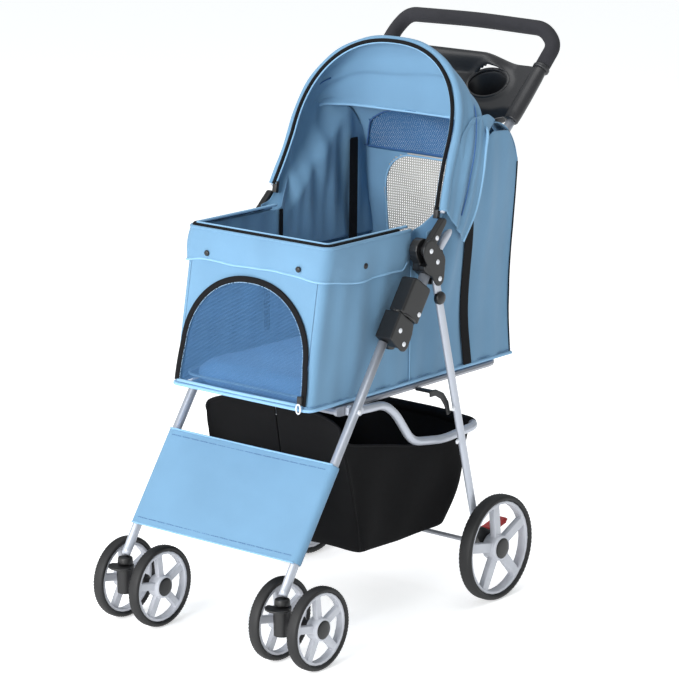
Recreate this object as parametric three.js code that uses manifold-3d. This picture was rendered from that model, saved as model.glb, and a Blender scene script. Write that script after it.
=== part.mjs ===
// Folding four-wheel pet stroller, as a scene graph of named solids.
// Millimetres, +Z up. The front faces -Y, the push handle is at +Y, and the left side is +X.
// Inside this file y = 0 is 238 mm in front of the rear axle; the group then moves to its own middle.
import * as THREE from "three";
import { mergeVertices } from "three/addons/utils/BufferGeometryUtils.js";
import Module from "manifold-3d";

const wasm = await Module();
wasm.setup();

// ---- Driving dimensions -------------------------------------------------------------------
const GAP = 0.4;
const MIDDLE_Y = 59.6;
const LEG_X = 175;
const LEG_RADIUS = 8;
const LEG_TOP = [-35, 520];
const LEG_ANGLE = THREE.MathUtils.degToRad(55.8);
const FOLD_PIVOT = [-15.4, 503.5];
const STUB_X = 185;
const STUB_RADIUS = 9.5;
const STUB_OFFSET = 25.5;
const STUB_TOP = 124;
const REAR_LEG_X = 190;
const REAR_LEG_THICKNESS = 11;
const REAR_LEG_PIVOT = [78, 601];
const CANOPY_PIVOT = [53, 652];
const LOWER_PIVOT = [-114.5, 403];
const HANDLE_ANGLE = THREE.MathUtils.degToRad(43.8);
const HANDLE_START = [101, 642];
const CABIN_HALF_WIDTH = 151;
const CABIN_WALL = 3;
const FLOOR_Z = 410.5;
const HOOP_HALF_WIDTH = 176;
const HOOP_HEIGHT = 333;
const HOOP_LEAN = THREE.MathUtils.degToRad(22.5);
const HOOP_FOOT = [79, 665];
const HOOP_START = 48;
const HOOP_FLARE = 12;
const CASTER_AXIS_Y = -300;
const FRONT_AXLE = [-257.5, 71];
const FRONT_WHEEL_OFFSET = 41;
const FRONT_WHEEL_RADIUS = 71;
const FRONT_TYRE_WIDTH = 21;
const REAR_AXLE = [238, 94.5];
const REAR_WHEEL_RADIUS = 94.5;
const REAR_TYRE_WIDTH = 26;
const SPOKES = 5;

// ---- Materials ----------------------------------------------------------------------------
const finish = (color, roughness, metalness) =>
  new THREE.MeshStandardMaterial({ color, roughness, metalness });
const silver = () => finish(0xa9adb4, 0.38, 0.7);
const grey = () => finish(0x83868c, 0.45, 0.4);
const black = () => finish(0x222326, 0.45, 0);
const foam = () => finish(0x2c2d31, 0.95, 0);
const blue = () => finish(0x77b4df, 0.85, 0);
const denim = () => finish(0x47719f, 0.9, 0);
const canvas = () => finish(0x1c1d21, 0.9, 0);
const tyreRubber = () => finish(0x1f2023, 0.8, 0);
const wheelGrey = () => finish(0xb4b8bd, 0.5, 0);
const red = () => finish(0xb3262c, 0.45, 0);

// ---- Geometry helpers ---------------------------------------------------------------------
const v3 = (x, y, z) => new THREE.Vector3(x, y, z);
const X = v3(1, 0, 0);
const Y = v3(0, 1, 0);
const Z = v3(0, 0, 1);

// A closed three.js geometry as a manifold-3d solid, and back.
function solid(geometry) {
  const loose = geometry.index ? geometry.toNonIndexed() : geometry;
  const bare = new THREE.BufferGeometry();
  bare.setAttribute("position", loose.getAttribute("position"));
  const merged = mergeVertices(bare, 1e-3);
  return new wasm.Manifold(
    new wasm.Mesh({
      numProp: 3,
      vertProperties: merged.attributes.position.array,
      triVerts: new Uint32Array(merged.index.array),
    }),
  );
}

function geometryOf(made) {
  const mesh = made.getMesh();
  const geometry = new THREE.BufferGeometry();
  geometry.setAttribute("position", new THREE.BufferAttribute(new Float32Array(mesh.vertProperties), 3));
  geometry.setIndex(new THREE.BufferAttribute(new Uint32Array(mesh.triVerts), 1));
  return geometry;
}

const join = (...pieces) => geometryOf(pieces.map(solid).reduce((a, b) => a.add(b)));
const cut = (body, ...tools) => geometryOf(tools.map(solid).reduce((a, b) => a.subtract(b), solid(body)));

// A path through given points, used at exactly those points.
class PointPath extends THREE.Curve {
  constructor(points) {
    super();
    this.points = points;
  }
  getPointAt(t, target = new THREE.Vector3()) {
    return target.copy(this.points[Math.round(t * (this.points.length - 1))]);
  }
  getPoint(t, target) {
    return this.getPointAt(t, target);
  }
  getTangentAt(t, target = new THREE.Vector3()) {
    const last = this.points.length - 1;
    const i = Math.round(t * last);
    const before = this.points[Math.max(i - 1, 0)];
    const after = this.points[Math.min(i + 1, last)];
    return target.subVectors(after, before).normalize();
  }
}

// Corner points with each inner corner turned into a bend that starts `reach` before it.
function bent(corners, reach = 25, pieces = 4) {
  const out = [corners[0].clone()];
  for (let i = 1; i < corners.length - 1; i += 1) {
    const [a, b, c] = [corners[i - 1], corners[i], corners[i + 1]];
    const r = Math.min(reach, a.distanceTo(b) * 0.48, b.distanceTo(c) * 0.48);
    const start = b.clone().lerp(a, r / a.distanceTo(b));
    const end = b.clone().lerp(c, r / b.distanceTo(c));
    out.push(...new THREE.QuadraticBezierCurve3(start, b, end).getPoints(pieces));
  }
  out.push(corners.at(-1).clone());
  return out;
}

function tube(points, radius, sides = 10) {
  const section = new THREE.Shape();
  for (let i = 0; i < sides; i += 1) {
    const a = (2 * Math.PI * i) / sides;
    const [p, q] = [radius * Math.cos(a), radius * Math.sin(a)];
    if (i === 0) section.moveTo(p, q);
    else section.lineTo(p, q);
  }
  section.closePath();
  return new THREE.ExtrudeGeometry(section, {
    steps: points.length - 1,
    bevelEnabled: false,
    extrudePath: new PointPath(points),
  });
}

// A cylinder between two points.
function rod(from, to, radius, sides = 14) {
  const length = from.distanceTo(to);
  const direction = to.clone().sub(from).normalize();
  const turn = new THREE.Quaternion().setFromUnitVectors(Y, direction);
  const middle = from.clone().add(to).multiplyScalar(0.5);
  return new THREE.CylinderGeometry(radius, radius, length, sides)
    .applyQuaternion(turn)
    .translate(middle.x, middle.y, middle.z);
}

// A closed ring or disc turned about the X axis: profile points are [radius, x].
function turnedX(profile, segments) {
  const points = profile.map(([r, x]) => new THREE.Vector2(r, x));
  return new THREE.LatheGeometry(points, segments).rotateZ(-Math.PI / 2);
}

function shapeOf(points) {
  const shape = new THREE.Shape();
  points.forEach(([a, b], i) => (i === 0 ? shape.moveTo(a, b) : shape.lineTo(a, b)));
  shape.closePath();
  return shape;
}

// A side-view outline of [y, z] points, from x = from to x = to.
function sidePlate(outline, from, to) {
  const shape = outline instanceof THREE.Shape ? outline : shapeOf(outline);
  return new THREE.ExtrudeGeometry(shape, { depth: to - from, bevelEnabled: false, curveSegments: 6 })
    .applyMatrix4(new THREE.Matrix4().makeBasis(Y, Z, X))
    .translate(from, 0, 0);
}

// A front-view outline of [x, z] points, from y = from to y = to.
function frontPlate(outline, from, to) {
  const shape = outline instanceof THREE.Shape ? outline : shapeOf(outline);
  return new THREE.ExtrudeGeometry(shape, { depth: to - from, bevelEnabled: false, curveSegments: 6 })
    .applyMatrix4(new THREE.Matrix4().makeBasis(X, Z, Y.clone().negate()))
    .translate(0, to, 0);
}

function block(x0, x1, y0, y1, z0, z1) {
  return new THREE.BoxGeometry(x1 - x0, y1 - y0, z1 - z0).translate(
    (x0 + x1) / 2,
    (y0 + y1) / 2,
    (z0 + z1) / 2,
  );
}

// The outline around a few circles [y, z, radius] taken in order: their convex hull.
function lobes(circles, pieces = 12) {
  const points = [];
  for (const [y, z, r] of circles)
    for (let i = 0; i < pieces; i += 1) {
      const a = (2 * Math.PI * i) / pieces;
      points.push([y + r * Math.cos(a), z + r * Math.sin(a)]);
    }
  return hull(points);
}

// Convex hull of 2-D points by Andrew's monotone chain, anticlockwise.
function hull(points) {
  const sorted = [...points].sort((a, b) => a[0] - b[0] || a[1] - b[1]);
  const cross = (o, a, b) => (a[0] - o[0]) * (b[1] - o[1]) - (a[1] - o[1]) * (b[0] - o[0]);
  const half = (list) => {
    const out = [];
    for (const p of list) {
      while (out.length > 1 && cross(out.at(-2), out.at(-1), p) <= 1e-6) out.pop();
      out.push(p);
    }
    return out.slice(0, -1);
  };
  return [...half(sorted), ...half(sorted.reverse())];
}

// A sheet of even thickness over a grid: place(u, v) gives a point, u and v from 0 to 1.
function sheet(place, across, along, thickness) {
  const normalAt = (u, v) => {
    const e = 1e-3;
    const du = place(Math.min(u + e, 1), v).sub(place(Math.max(u - e, 0), v));
    const dv = place(u, Math.min(v + e, 1)).sub(place(u, Math.max(v - e, 0)));
    return du.cross(dv).normalize();
  };
  const positions = [];
  for (const side of [0.5, -0.5])
    for (let i = 0; i <= across; i += 1)
      for (let j = 0; j <= along; j += 1) {
        const [u, v] = [i / across, j / along];
        const p = place(u, v).addScaledVector(normalAt(u, v), side * thickness);
        positions.push(p.x, p.y, p.z);
      }
  const row = along + 1;
  const layer = row * (across + 1);
  const faces = [];
  const quad = (a, b, c, d) => faces.push(a, b, c, a, c, d);
  for (let i = 0; i < across; i += 1)
    for (let j = 0; j < along; j += 1) {
      const a = i * row + j;
      quad(a, a + row, a + row + 1, a + 1);
      quad(layer + a, layer + a + 1, layer + a + row + 1, layer + a + row);
    }
  for (let i = 0; i < across; i += 1) {
    const [a, b] = [i * row, i * row + along];
    quad(a, layer + a, layer + a + row, a + row);
    quad(b, b + row, layer + b + row, layer + b);
  }
  for (let j = 0; j < along; j += 1) {
    const [a, b] = [j, across * row + j];
    quad(a, a + 1, layer + a + 1, layer + a);
    quad(b, layer + b, layer + b + 1, b + 1);
  }
  const geometry = new THREE.BufferGeometry();
  geometry.setAttribute("position", new THREE.BufferAttribute(new Float32Array(positions), 3));
  geometry.setIndex(faces);
  return geometry;
}

// ---- The group ----------------------------------------------------------------------------
const stroller = new THREE.Group();
stroller.position.y = -MIDDLE_Y;

function add(name, geometry, material) {
  const mesh = new THREE.Mesh(geometry, material);
  mesh.name = name;
  stroller.add(mesh);
  return mesh;
}

// A piece on the left (+X) side and its mirror image on the right.
function addPair(name, geometry, makeMaterial) {
  add(`${name}_left`, geometry, makeMaterial());
  add(`${name}_right`, geometry, makeMaterial()).scale.x = -1;
}

// A point beside the front leg's line: s up along it from the leg's top, n square to it, towards the rear.
const legAlong = [Math.cos(LEG_ANGLE), Math.sin(LEG_ANGLE)];
const legAcross = [Math.sin(LEG_ANGLE), -Math.cos(LEG_ANGLE)];
const onLeg = (s, n) => [
  LEG_TOP[0] + legAlong[0] * s + legAcross[0] * n,
  LEG_TOP[1] + legAlong[1] * s + legAcross[1] * n,
];
const at = (x, [y, z]) => v3(x, y, z);

// A point in the plane of the handle: t up along it, n square to it, towards the front and up.
const handleAlong = [Math.cos(HANDLE_ANGLE), Math.sin(HANDLE_ANGLE)];
const onHandle = (t, n = 0) => [
  HANDLE_START[0] + handleAlong[0] * t - handleAlong[1] * n,
  HANDLE_START[1] + handleAlong[1] * t + handleAlong[0] * n,
];

// ---- Front frame --------------------------------------------------------------------------
function frontTube() {
  const corners = [
    v3(LEG_X, CASTER_AXIS_Y + 1, 128.4),
    v3(LEG_X, -291, 140),
    v3(LEG_X, -272, 171),
    at(LEG_X, onLeg(-14, 0)),
  ];
  return tube(bent(corners, 14, 2), LEG_RADIUS);
}

function casterSocket() {
  const profile = [
    [4.4, 112],
    [13, 112],
    [13.5, 116],
    [12.5, 123.9],
    [0, 123.9],
    [0, 121],
    [4.4, 121],
    [4.4, 112],
  ];
  const points = profile.map(([r, z]) => new THREE.Vector2(r, z));
  return new THREE.LatheGeometry(points, 20)
    .rotateX(Math.PI / 2)
    .translate(LEG_X, CASTER_AXIS_Y, 0);
}

// The clevis at the top of a front leg: the folding upper tube turns between its cheeks.
function lockBase() {
  const outline = [
    onLeg(-10, -14),
    onLeg(40, -14),
    onLeg(40, 24.7),
    onLeg(36, 32),
    onLeg(20, 38),
    onLeg(-3, 39.5),
    onLeg(-12, 36),
    onLeg(-16.6, 26),
    onLeg(-14, 12),
  ].reverse();
  const slot = [onLeg(60, 15.7), onLeg(60, 60), onLeg(-40, 60), onLeg(-40, 15.7)];
  const body = cut(
    sidePlate(outline, 164, 198),
    sidePlate(slot, STUB_X - STUB_RADIUS - GAP, STUB_X + STUB_RADIUS + GAP),
  );
  return join(body, rod(at(166, FOLD_PIVOT), at(197, FOLD_PIVOT), 3.5));
}

// Cloth panel across the front of both front legs.
function legPanel() {
  const [low, high] = [-414.2, -235.2];
  const rear = -LEG_RADIUS - GAP - 0.1;
  const front = rear - 2;
  return sidePlate(
    [onLeg(low, rear), onLeg(low, front), onLeg(high, front), onLeg(high, rear)].reverse(),
    -184,
    184,
  );
}

// ---- Casters and wheels -------------------------------------------------------------------
function casterFork() {
  const [axleY, axleZ] = FRONT_AXLE;
  const barrel = new THREE.CylinderGeometry(15.5, 14, 50, 20)
    .rotateX(Math.PI / 2)
    .translate(LEG_X, CASTER_AXIS_Y, 86);
  const pin = rod(v3(LEG_X, CASTER_AXIS_Y, 100), v3(LEG_X, CASTER_AXIS_Y, 120.5), 4);
  const arm = sidePlate(
    hull([
      ...lobes([[axleY, axleZ, 13]]),
      [CASTER_AXIS_Y, 108],
      [CASTER_AXIS_Y, 62],
    ]),
    LEG_X - 9,
    LEG_X + 9,
  );
  const tab = new THREE.Shape();
  tab.moveTo(-15, 0);
  tab.absarc(0, -8, 24, Math.PI, 2 * Math.PI, false);
  tab.lineTo(15, 0);
  const tabPlate = new THREE.ExtrudeGeometry(tab, { depth: 4, bevelEnabled: false, curveSegments: 8 })
    .translate(LEG_X, CASTER_AXIS_Y, 107);
  const reach = FRONT_WHEEL_OFFSET + 6.8;
  const axle = rod(v3(LEG_X - reach, axleY, axleZ), v3(LEG_X + reach, axleY, axleZ), 4);
  const spacer = rod(v3(LEG_X - 29, axleY, axleZ), v3(LEG_X + 29, axleY, axleZ), 9.5, 18);
  return join(barrel, pin, arm, tabPlate, axle, spacer);
}

function tyre(radius, rimRadius, width) {
  const half = width / 2;
  const profile = [
    [rimRadius + GAP, -half * 0.72],
    [radius - 5, -half],
    [radius - 1.4, -half * 0.7],
    [radius, -half * 0.25],
    [radius, half * 0.25],
    [radius - 1.4, half * 0.7],
    [radius - 5, half],
    [rimRadius + GAP, half * 0.72],
    [rimRadius + GAP, -half * 0.72],
  ];
  return turnedX(profile, 28);
}

// Rim, five chunky spokes and a hub with a blind bore that opens inboard (towards -X).
function wheelHub(rimRadius, width, bossRadius, boreRadius, spokeWidth) {
  const half = width / 2;
  const rim = turnedX(
    [
      [rimRadius - 5, -half * 0.7],
      [rimRadius, -half * 0.7],
      [rimRadius, half * 0.7],
      [rimRadius - 5, half * 0.7],
      [rimRadius - 5, -half * 0.7],
    ],
    28,
  );
  const boss = turnedX(
    [
      [boreRadius, -half],
      [bossRadius, -half],
      [bossRadius, half],
      [bossRadius - 2, half + 1.5],
      [0, half + 1.5],
      [0, half - 2],
      [boreRadius, half - 2],
      [boreRadius, -half],
    ],
    14,
  );
  const spokes = [];
  for (let i = 0; i < SPOKES; i += 1) {
    const reach = rimRadius - 2.5;
    const inner = Math.sqrt(bossRadius ** 2 - (spokeWidth / 2) ** 2) - 1;
    spokes.push(
      block(-half * 0.35, half * 0.55, -spokeWidth / 2, spokeWidth / 2, inner, reach)
        .rotateX((2 * Math.PI * (i + 0.1)) / SPOKES),
    );
  }
  return join(rim, boss, ...spokes);
}

function addWheel(name, [y, z], x, outward, size) {
  const parts = { tyre: tyre(...size.tyre), hub: wheelHub(...size.hub) };
  for (const [kind, geometry] of Object.entries(parts)) {
    const mesh = add(`${name}_${kind}`, geometry, kind === "tyre" ? tyreRubber() : wheelGrey());
    mesh.position.set(x, y, z);
    mesh.scale.x = outward;
  }
}

// ---- Handle frame -------------------------------------------------------------------------
function stub() {
  const [s0, s1] = [-2.6, STUB_TOP];
  const shaft = rod(at(STUB_X, onLeg(s0, STUB_OFFSET)), at(STUB_X, onLeg(s1, STUB_OFFSET)), STUB_RADIUS, 18);
  const eye = rod(
    at(STUB_X - STUB_RADIUS, FOLD_PIVOT),
    at(STUB_X + STUB_RADIUS, FOLD_PIVOT),
    STUB_RADIUS,
    18,
  );
  return cut(join(shaft, eye), rod(at(160, FOLD_PIVOT), at(205, FOLD_PIVOT), 3.9));
}

function lockSleeve() {
  const [s0, s1, front, rear] = [40.6, 106, -13, 40];
  const outline = [
    onLeg(s0, front),
    onLeg(s1 - 5, front),
    onLeg(s1, front + 6),
    onLeg(s1, rear - 4),
    onLeg(s1 - 4, rear),
    onLeg(s0, rear),
  ].reverse();
  const bore = rod(
    at(STUB_X, onLeg(s0 - 20, STUB_OFFSET)),
    at(STUB_X, onLeg(s1 + 20, STUB_OFFSET)),
    STUB_RADIUS + GAP,
    18,
  );
  return cut(sidePlate(outline, 170, 199), bore);
}

// Black hinge bracket: an outer plate, an inner plate and a core between them.
// The rear leg's head and the canopy arm turn between the plates.
function hingeBracket() {
  const [legY, legZ] = REAR_LEG_PIVOT;
  const [canopyY, canopyZ] = CANOPY_PIVOT;
  const outline = hull([
    ...lobes([
      [legY, legZ, 13],
      [canopyY, canopyZ, 20],
      [legY - 1, legZ + 29, 17],
    ]),
  ]);
  const plates = [sidePlate(outline, 196.4, 200), sidePlate(outline, 167, 183.6)];
  const core = sidePlate(
    [
      onLeg(STUB_TOP + GAP, 6),
      onLeg(STUB_TOP + GAP, 34),
      [76, 621],
      [95, 634],
      [88, 650],
      [72, 631],
      [40, 627],
    ].reverse(),
    183,
    197,
  );
  const socket = sidePlate(
    [onLeg(STUB_TOP + GAP, 10), onLeg(STUB_TOP + GAP, 37), [88, 634], [72, 652], [44, 640]].reverse(),
    167,
    184,
  );
  const handleEnd = rod(at(LEG_X, onHandle(-24)), at(LEG_X, onHandle(60)), LEG_RADIUS + GAP);
  const stubEnd = rod(
    at(STUB_X, onLeg(90, STUB_OFFSET)),
    at(STUB_X, onLeg(STUB_TOP + GAP, STUB_OFFSET)),
    STUB_RADIUS + GAP,
    18,
  );
  return cut(join(...plates, core, socket), handleEnd, stubEnd);
}

function handleTube() {
  return rod(at(LEG_X, onHandle(-23)), at(LEG_X, onHandle(284)), LEG_RADIUS, 12);
}

// Tray in the plane of the handle, with an upright cup hole on each side and a raised rear edge.
function tray() {
  const [low, high, cupT] = [286, 402, 354];
  const plate = sidePlate(
    [onHandle(low + 4, -9), onHandle(high - 6, -9), onHandle(high - 6, 9), onHandle(low + 4, 9)],
    -167,
    167,
  );
  const arms = [1, -1].map((side) =>
    sidePlate(
      [onHandle(low, -12), onHandle(high, -12), onHandle(high, 12), onHandle(low, 12)],
      side > 0 ? 162 : -188,
      side > 0 ? 188 : -162,
    ),
  );
  const rim = sidePlate(
    [onHandle(high - 22, 0), onHandle(high - 2, 0), onHandle(high + 4, 22), onHandle(high - 8, 22)],
    -110,
    110,
  );
  const cup = (side, radius, bottom, top) => {
    const [y] = onHandle(cupT);
    return new THREE.CylinderGeometry(radius, radius * 0.84, top - bottom, 24)
      .rotateX(Math.PI / 2)
      .scale(1, 0.72, 1)
      .translate(side * 90, y, (top + bottom) / 2);
  };
  const body = join(plate, ...arms, rim, cup(1, 46, 822, 884), cup(-1, 46, 822, 884));
  return cut(body, cup(1, 42, 826, 990), cup(-1, 42, 826, 990));
}

// Foam-covered push bar: up from the tray's arms, round two wide bends and across.
function grip() {
  const [y0, z0] = onHandle(402 + GAP);
  const half = [v3(LEG_X, y0, z0), at(LEG_X, onHandle(458)), v3(150, 436, 984)];
  const corners = [...half, v3(0, 438, 987), ...[...half].reverse().map((p) => v3(-p.x, p.y, p.z))];
  return tube(bent(corners, 38, 4), 13.5, 10);
}

// ---- Canopy -------------------------------------------------------------------------------
// The hoop in its own plane: straight sides flared at the feet and a squarish half-round top.
// w from 0 to 1 goes from left to right; back moves it rearward and spread widens it.
function hoopPoint(w, back = 0, spread = 0) {
  const radius = HOOP_HALF_WIDTH + spread;
  const shoulder = HOOP_HEIGHT - HOOP_HALF_WIDTH;
  const straight = shoulder - HOOP_START;
  const total = Math.PI * radius + 2 * straight;
  const side = w < 0.5 ? 1 : -1;
  const d = Math.min(w, 1 - w) * total;
  let x = radius + HOOP_FLARE * Math.max(0, 1 - d / straight) ** 1.5;
  let k = HOOP_START + d;
  if (d > straight) {
    const a = (d - straight) / radius;
    x = radius * Math.max(0, Math.cos(a)) ** 0.88;
    k = shoulder + HOOP_HALF_WIDTH * Math.sin(a) ** 0.88;
  }
  return v3(side * x, HOOP_FOOT[0] + k * Math.sin(HOOP_LEAN) + back, HOOP_FOOT[1] + k * Math.cos(HOOP_LEAN));
}

function canopyHoop() {
  const points = [];
  for (let i = 0; i <= 26; i += 1) points.push(hoopPoint(i / 26));
  return tube(points, 4, 8);
}

// Plastic arm between the bracket's plates, with the hoop rod's end just above it.
function canopyArm() {
  const foot = hoopPoint(0);
  const [y, z] = CANOPY_PIVOT;
  return sidePlate(lobes([[y, z, 11], [foot.y - 3.5, foot.z - 14, 6.5]]), 184, 196);
}

// Hood cloth from the hoop back to the cabin: outside the handle tubes at the sides.
function hoodPoint(u, w) {
  const front = hoopPoint(w, 6.5, 3);
  const c = Math.cos(Math.PI * w);
  const lift = Math.sin(Math.PI * w);
  const side = Math.min(1, Math.abs(c) * 1.35) ** 2;
  const rearTop = v3(c * 178, 244, 846 + 6 * lift);
  const rise = Math.min(1, lift * 1.9);
  const rearSide = v3(Math.sign(c) * 188, 150 + 55 * rise, 655 + 195 * rise);
  const rear = rearTop.lerp(rearSide, side);
  const point = front.clone().lerp(rear, u);
  const swell = Math.sin(Math.PI * u);
  point.x += Math.sign(c) * Math.abs(c) * 6 * swell;
  point.z += 16 * swell * lift;
  point.y += 8 * swell * lift;
  return point;
}

// ---- Cabin --------------------------------------------------------------------------------
const floorTop = FLOOR_Z + 3;
const rearWallLine = [
  [348, FLOOR_Z],
  [319, 757],
  [252, 836],
];

function cabinFloor() {
  return block(-147.5, 147.5, -201, 343, FLOOR_Z, floorTop);
}

function sideWall() {
  const outline = [
    [-202, FLOOR_Z],
    [352, FLOOR_Z],
    [323, 758],
    [288, 828],
    [246, 832],
    [62, 676],
    [-157, 676],
  ];
  return sidePlate(outline, CABIN_HALF_WIDTH - CABIN_WALL, CABIN_HALF_WIDTH);
}

// Leaning front wall with a rounded door opening.
function leaningFront(geometry) {
  const lean = (676 - FLOOR_Z) / 45;
  const position = geometry.getAttribute("position");
  for (let i = 0; i < position.count; i += 1)
    position.setY(i, position.getY(i) + (position.getZ(i) - FLOOR_Z) / lean);
  return geometry;
}

function doorShape(inset) {
  const half = 143 - inset;
  const top = 611 - inset;
  const shape = new THREE.Shape();
  shape.moveTo(-half, 426 + inset);
  shape.lineTo(half, 426 + inset);
  shape.lineTo(half, 500);
  shape.bezierCurveTo(half, 575, 62, top, 0, top);
  shape.bezierCurveTo(-62, top, -half, 575, -half, 500);
  shape.closePath();
  return shape;
}

function frontWall() {
  const shape = shapeOf([
    [-CABIN_HALF_WIDTH, FLOOR_Z],
    [CABIN_HALF_WIDTH, FLOOR_Z],
    [CABIN_HALF_WIDTH, 676],
    [-CABIN_HALF_WIDTH, 676],
  ]);
  shape.holes.push(doorShape(0));
  return leaningFront(frontPlate(shape, -206, -203));
}

function doorMesh() {
  return leaningFront(frontPlate(doorShape(GAP), -205.5, -203.7));
}

function rearWall() {
  const outer = rearWallLine;
  const inner = [
    [255.6, 839],
    [323, 758.5],
    [352, FLOOR_Z],
  ];
  const half = CABIN_HALF_WIDTH - CABIN_WALL - GAP;
  return sidePlate([...outer, ...inner].reverse(), -half, half);
}

function cushion() {
  const shape = new THREE.Shape();
  const [x, y0, y1, r] = [138, -192, 322, 34];
  shape.moveTo(-x + r, y0);
  shape.lineTo(x - r, y0);
  shape.quadraticCurveTo(x, y0, x, y0 + r);
  shape.lineTo(x, y1 - r);
  shape.quadraticCurveTo(x, y1, x - r, y1);
  shape.lineTo(-x + r, y1);
  shape.quadraticCurveTo(-x, y1, -x, y1 - r);
  shape.lineTo(-x, y0 + r);
  shape.quadraticCurveTo(-x, y0, -x + r, y0);
  return new THREE.ExtrudeGeometry(shape, {
    depth: 24,
    bevelEnabled: true,
    bevelThickness: 8,
    bevelSize: 6,
    bevelOffset: -6,
    bevelSegments: 2,
    curveSegments: 4,
  }).translate(0, 0, floorTop + 8 + GAP);
}

// Tube frame under the floor, with a lug at each end of its front bar that turns on the front legs.
function seatFrame() {
  const [pivotY, pivotZ] = LOWER_PIVOT;
  const z = pivotZ + 0.6;
  const loop = [
    v3(-142, -136, z),
    v3(-142, 326, z),
    v3(142, 326, z),
    v3(142, -136, z),
  ];
  const rails = tube(bent(loop, 30, 4), 6, 8);
  const bar = rod(v3(-156, -136, z), v3(156, -136, z), 6.5, 8);
  const lug = (x0, x1) => sidePlate(lobes([[-136, z, 8], [pivotY, pivotZ, 8]]), x0, x1);
  return join(rails, bar, lug(152, 158.5), lug(-158.5, -152));
}

// Flat curved link from the seat frame down to the rear leg.
function curvedLink() {
  const upper = [
    [80, 403],
    [97, 402],
    [118, 392],
    [132, 374],
    [138, 352],
  ];
  const lower = [
    [129, 350],
    [122, 368],
    [111, 382],
    [95, 391],
    [80, 391],
  ];
  const strap = sidePlate([...upper, ...lower].reverse(), 179.6, 183);
  const spacer = block(147.5, 181, 82, 94, 397, 401.5);
  return join(strap, spacer);
}

// ---- Basket frame and basket ----------------------------------------------------------------
function basketFrame() {
  const [pivotY, pivotZ] = LOWER_PIVOT;
  const side = [
    v3(158, -92, 397),
    v3(158, -17, 393),
    v3(158, 14, 372),
    v3(158, 62, 312),
    v3(158, 150, 299),
  ];
  const rear = [v3(158, 250, 306), v3(60, 262, 308)];
  const mirrored = (list) => [...list].reverse().map((p) => v3(-p.x, p.y, p.z));
  const rail = tube(bent([...side, ...rear, ...mirrored(rear), ...mirrored(side)], 22, 2), 7.5, 8);
  const lug = (x0, x1) => sidePlate(lobes([[pivotY, pivotZ, 8], [-88, 397, 7]]), x0, x1);
  return join(rail, lug(159, 166.4), lug(-166.4, -159));
}

// Open cloth basket hung inside the frame; its front is cut lower than its back.
function basket() {
  const outer = [
    [-121, 352],
    [-58, 142],
    [178, 142],
    [238, 296],
    [150, 289],
    [62, 300],
    [0, 372],
    [-60, 384],
    [-112, 386],
  ];
  const inner = [
    [-118, 352],
    [-56, 145],
    [176, 145],
    [236, 302],
    [236, 420],
    [-135, 420],
  ];
  return cut(sidePlate(outer, -148, 148), sidePlate(inner, -145, 145));
}

// ---- Rear frame ---------------------------------------------------------------------------
function rearLeg() {
  const [y0, z0] = REAR_LEG_PIVOT;
  const foot = [205, 143];
  const half = REAR_LEG_THICKNESS / 2;
  return sidePlate(
    lobes([[y0, z0, 8.5], [foot[0], foot[1], 8.5]], 14),
    REAR_LEG_X - half,
    REAR_LEG_X + half,
  );
}

function brakeHousing() {
  const outline = lobes([[214, 122, 12], [REAR_AXLE[0], REAR_AXLE[1], 15], [250, 104, 12]]);
  const body = sidePlate(outline, 176, 198);
  const bore = rod(v3(150, ...REAR_AXLE), v3(230, ...REAR_AXLE), 4.6, 16);
  const legRoom = sidePlate(lobes([[78, 601, 9], [205, 143, 9]], 14), 184, 196);
  const pedalRoom = block(163, 190, 247, 300, 108, 140);
  return cut(body, bore, legRoom, pedalRoom);
}

function axleRod() {
  const reach = 217;
  return rod(v3(-reach, ...REAR_AXLE), v3(reach, ...REAR_AXLE), 4.2, 16);
}

// Red foot lever behind each rear wheel's housing.
function brakePedal() {
  const outline = [
    [254, 110],
    [262, 110],
    [300, 119],
    [306, 126],
    [300, 130],
    [262, 121],
    [254, 120],
  ];
  return sidePlate(outline, 166, 188);
}

// ---- Assembly -----------------------------------------------------------------------------
addPair("front_tube", frontTube(), silver);
addPair("caster_socket", casterSocket(), black);
addPair("lock_base", lockBase(), black);
add("leg_panel", legPanel(), blue());

addPair("caster_fork", casterFork(), black);
const frontRim = FRONT_WHEEL_RADIUS * 0.865;
const frontSize = {
  tyre: [FRONT_WHEEL_RADIUS, frontRim, FRONT_TYRE_WIDTH],
  hub: [frontRim, FRONT_TYRE_WIDTH, 20, 4.4, 13],
};
const rearRim = REAR_WHEEL_RADIUS * 0.886;
const rearSize = {
  tyre: [REAR_WHEEL_RADIUS, rearRim, REAR_TYRE_WIDTH],
  hub: [rearRim, REAR_TYRE_WIDTH, 23, 4.6, 17],
};
for (const [side, sign] of [["left", 1], ["right", -1]]) {
  for (const [place, outward] of [["outer", 1], ["inner", -1]])
    addWheel(
      `front_wheel_${side}_${place}`,
      FRONT_AXLE,
      sign * (LEG_X + outward * FRONT_WHEEL_OFFSET),
      sign * outward,
      frontSize,
    );
  addWheel(`rear_wheel_${side}`, REAR_AXLE, sign * 211.7, sign, rearSize);
}

addPair("stub_tube", stub(), silver);
addPair("hinge_bracket", hingeBracket(), black);
addPair("handle_tube", handleTube(), silver);
add("tray", tray(), black());
add("grip", grip(), foam());
addPair("lock_sleeve", lockSleeve(), black);

add("canopy_hoop", canopyHoop(), silver());
addPair("canopy_arm", canopyArm(), black);
add("hood", sheet(hoodPoint, 6, 28, 3), blue());

addPair("rear_leg", rearLeg(), grey);
addPair("brake_housing", brakeHousing(), black);
add("axle_rod", axleRod(), grey());
addPair("brake_pedal", brakePedal(), red);

add("basket_frame", basketFrame(), grey());
add("basket", basket(), canvas());

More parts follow.
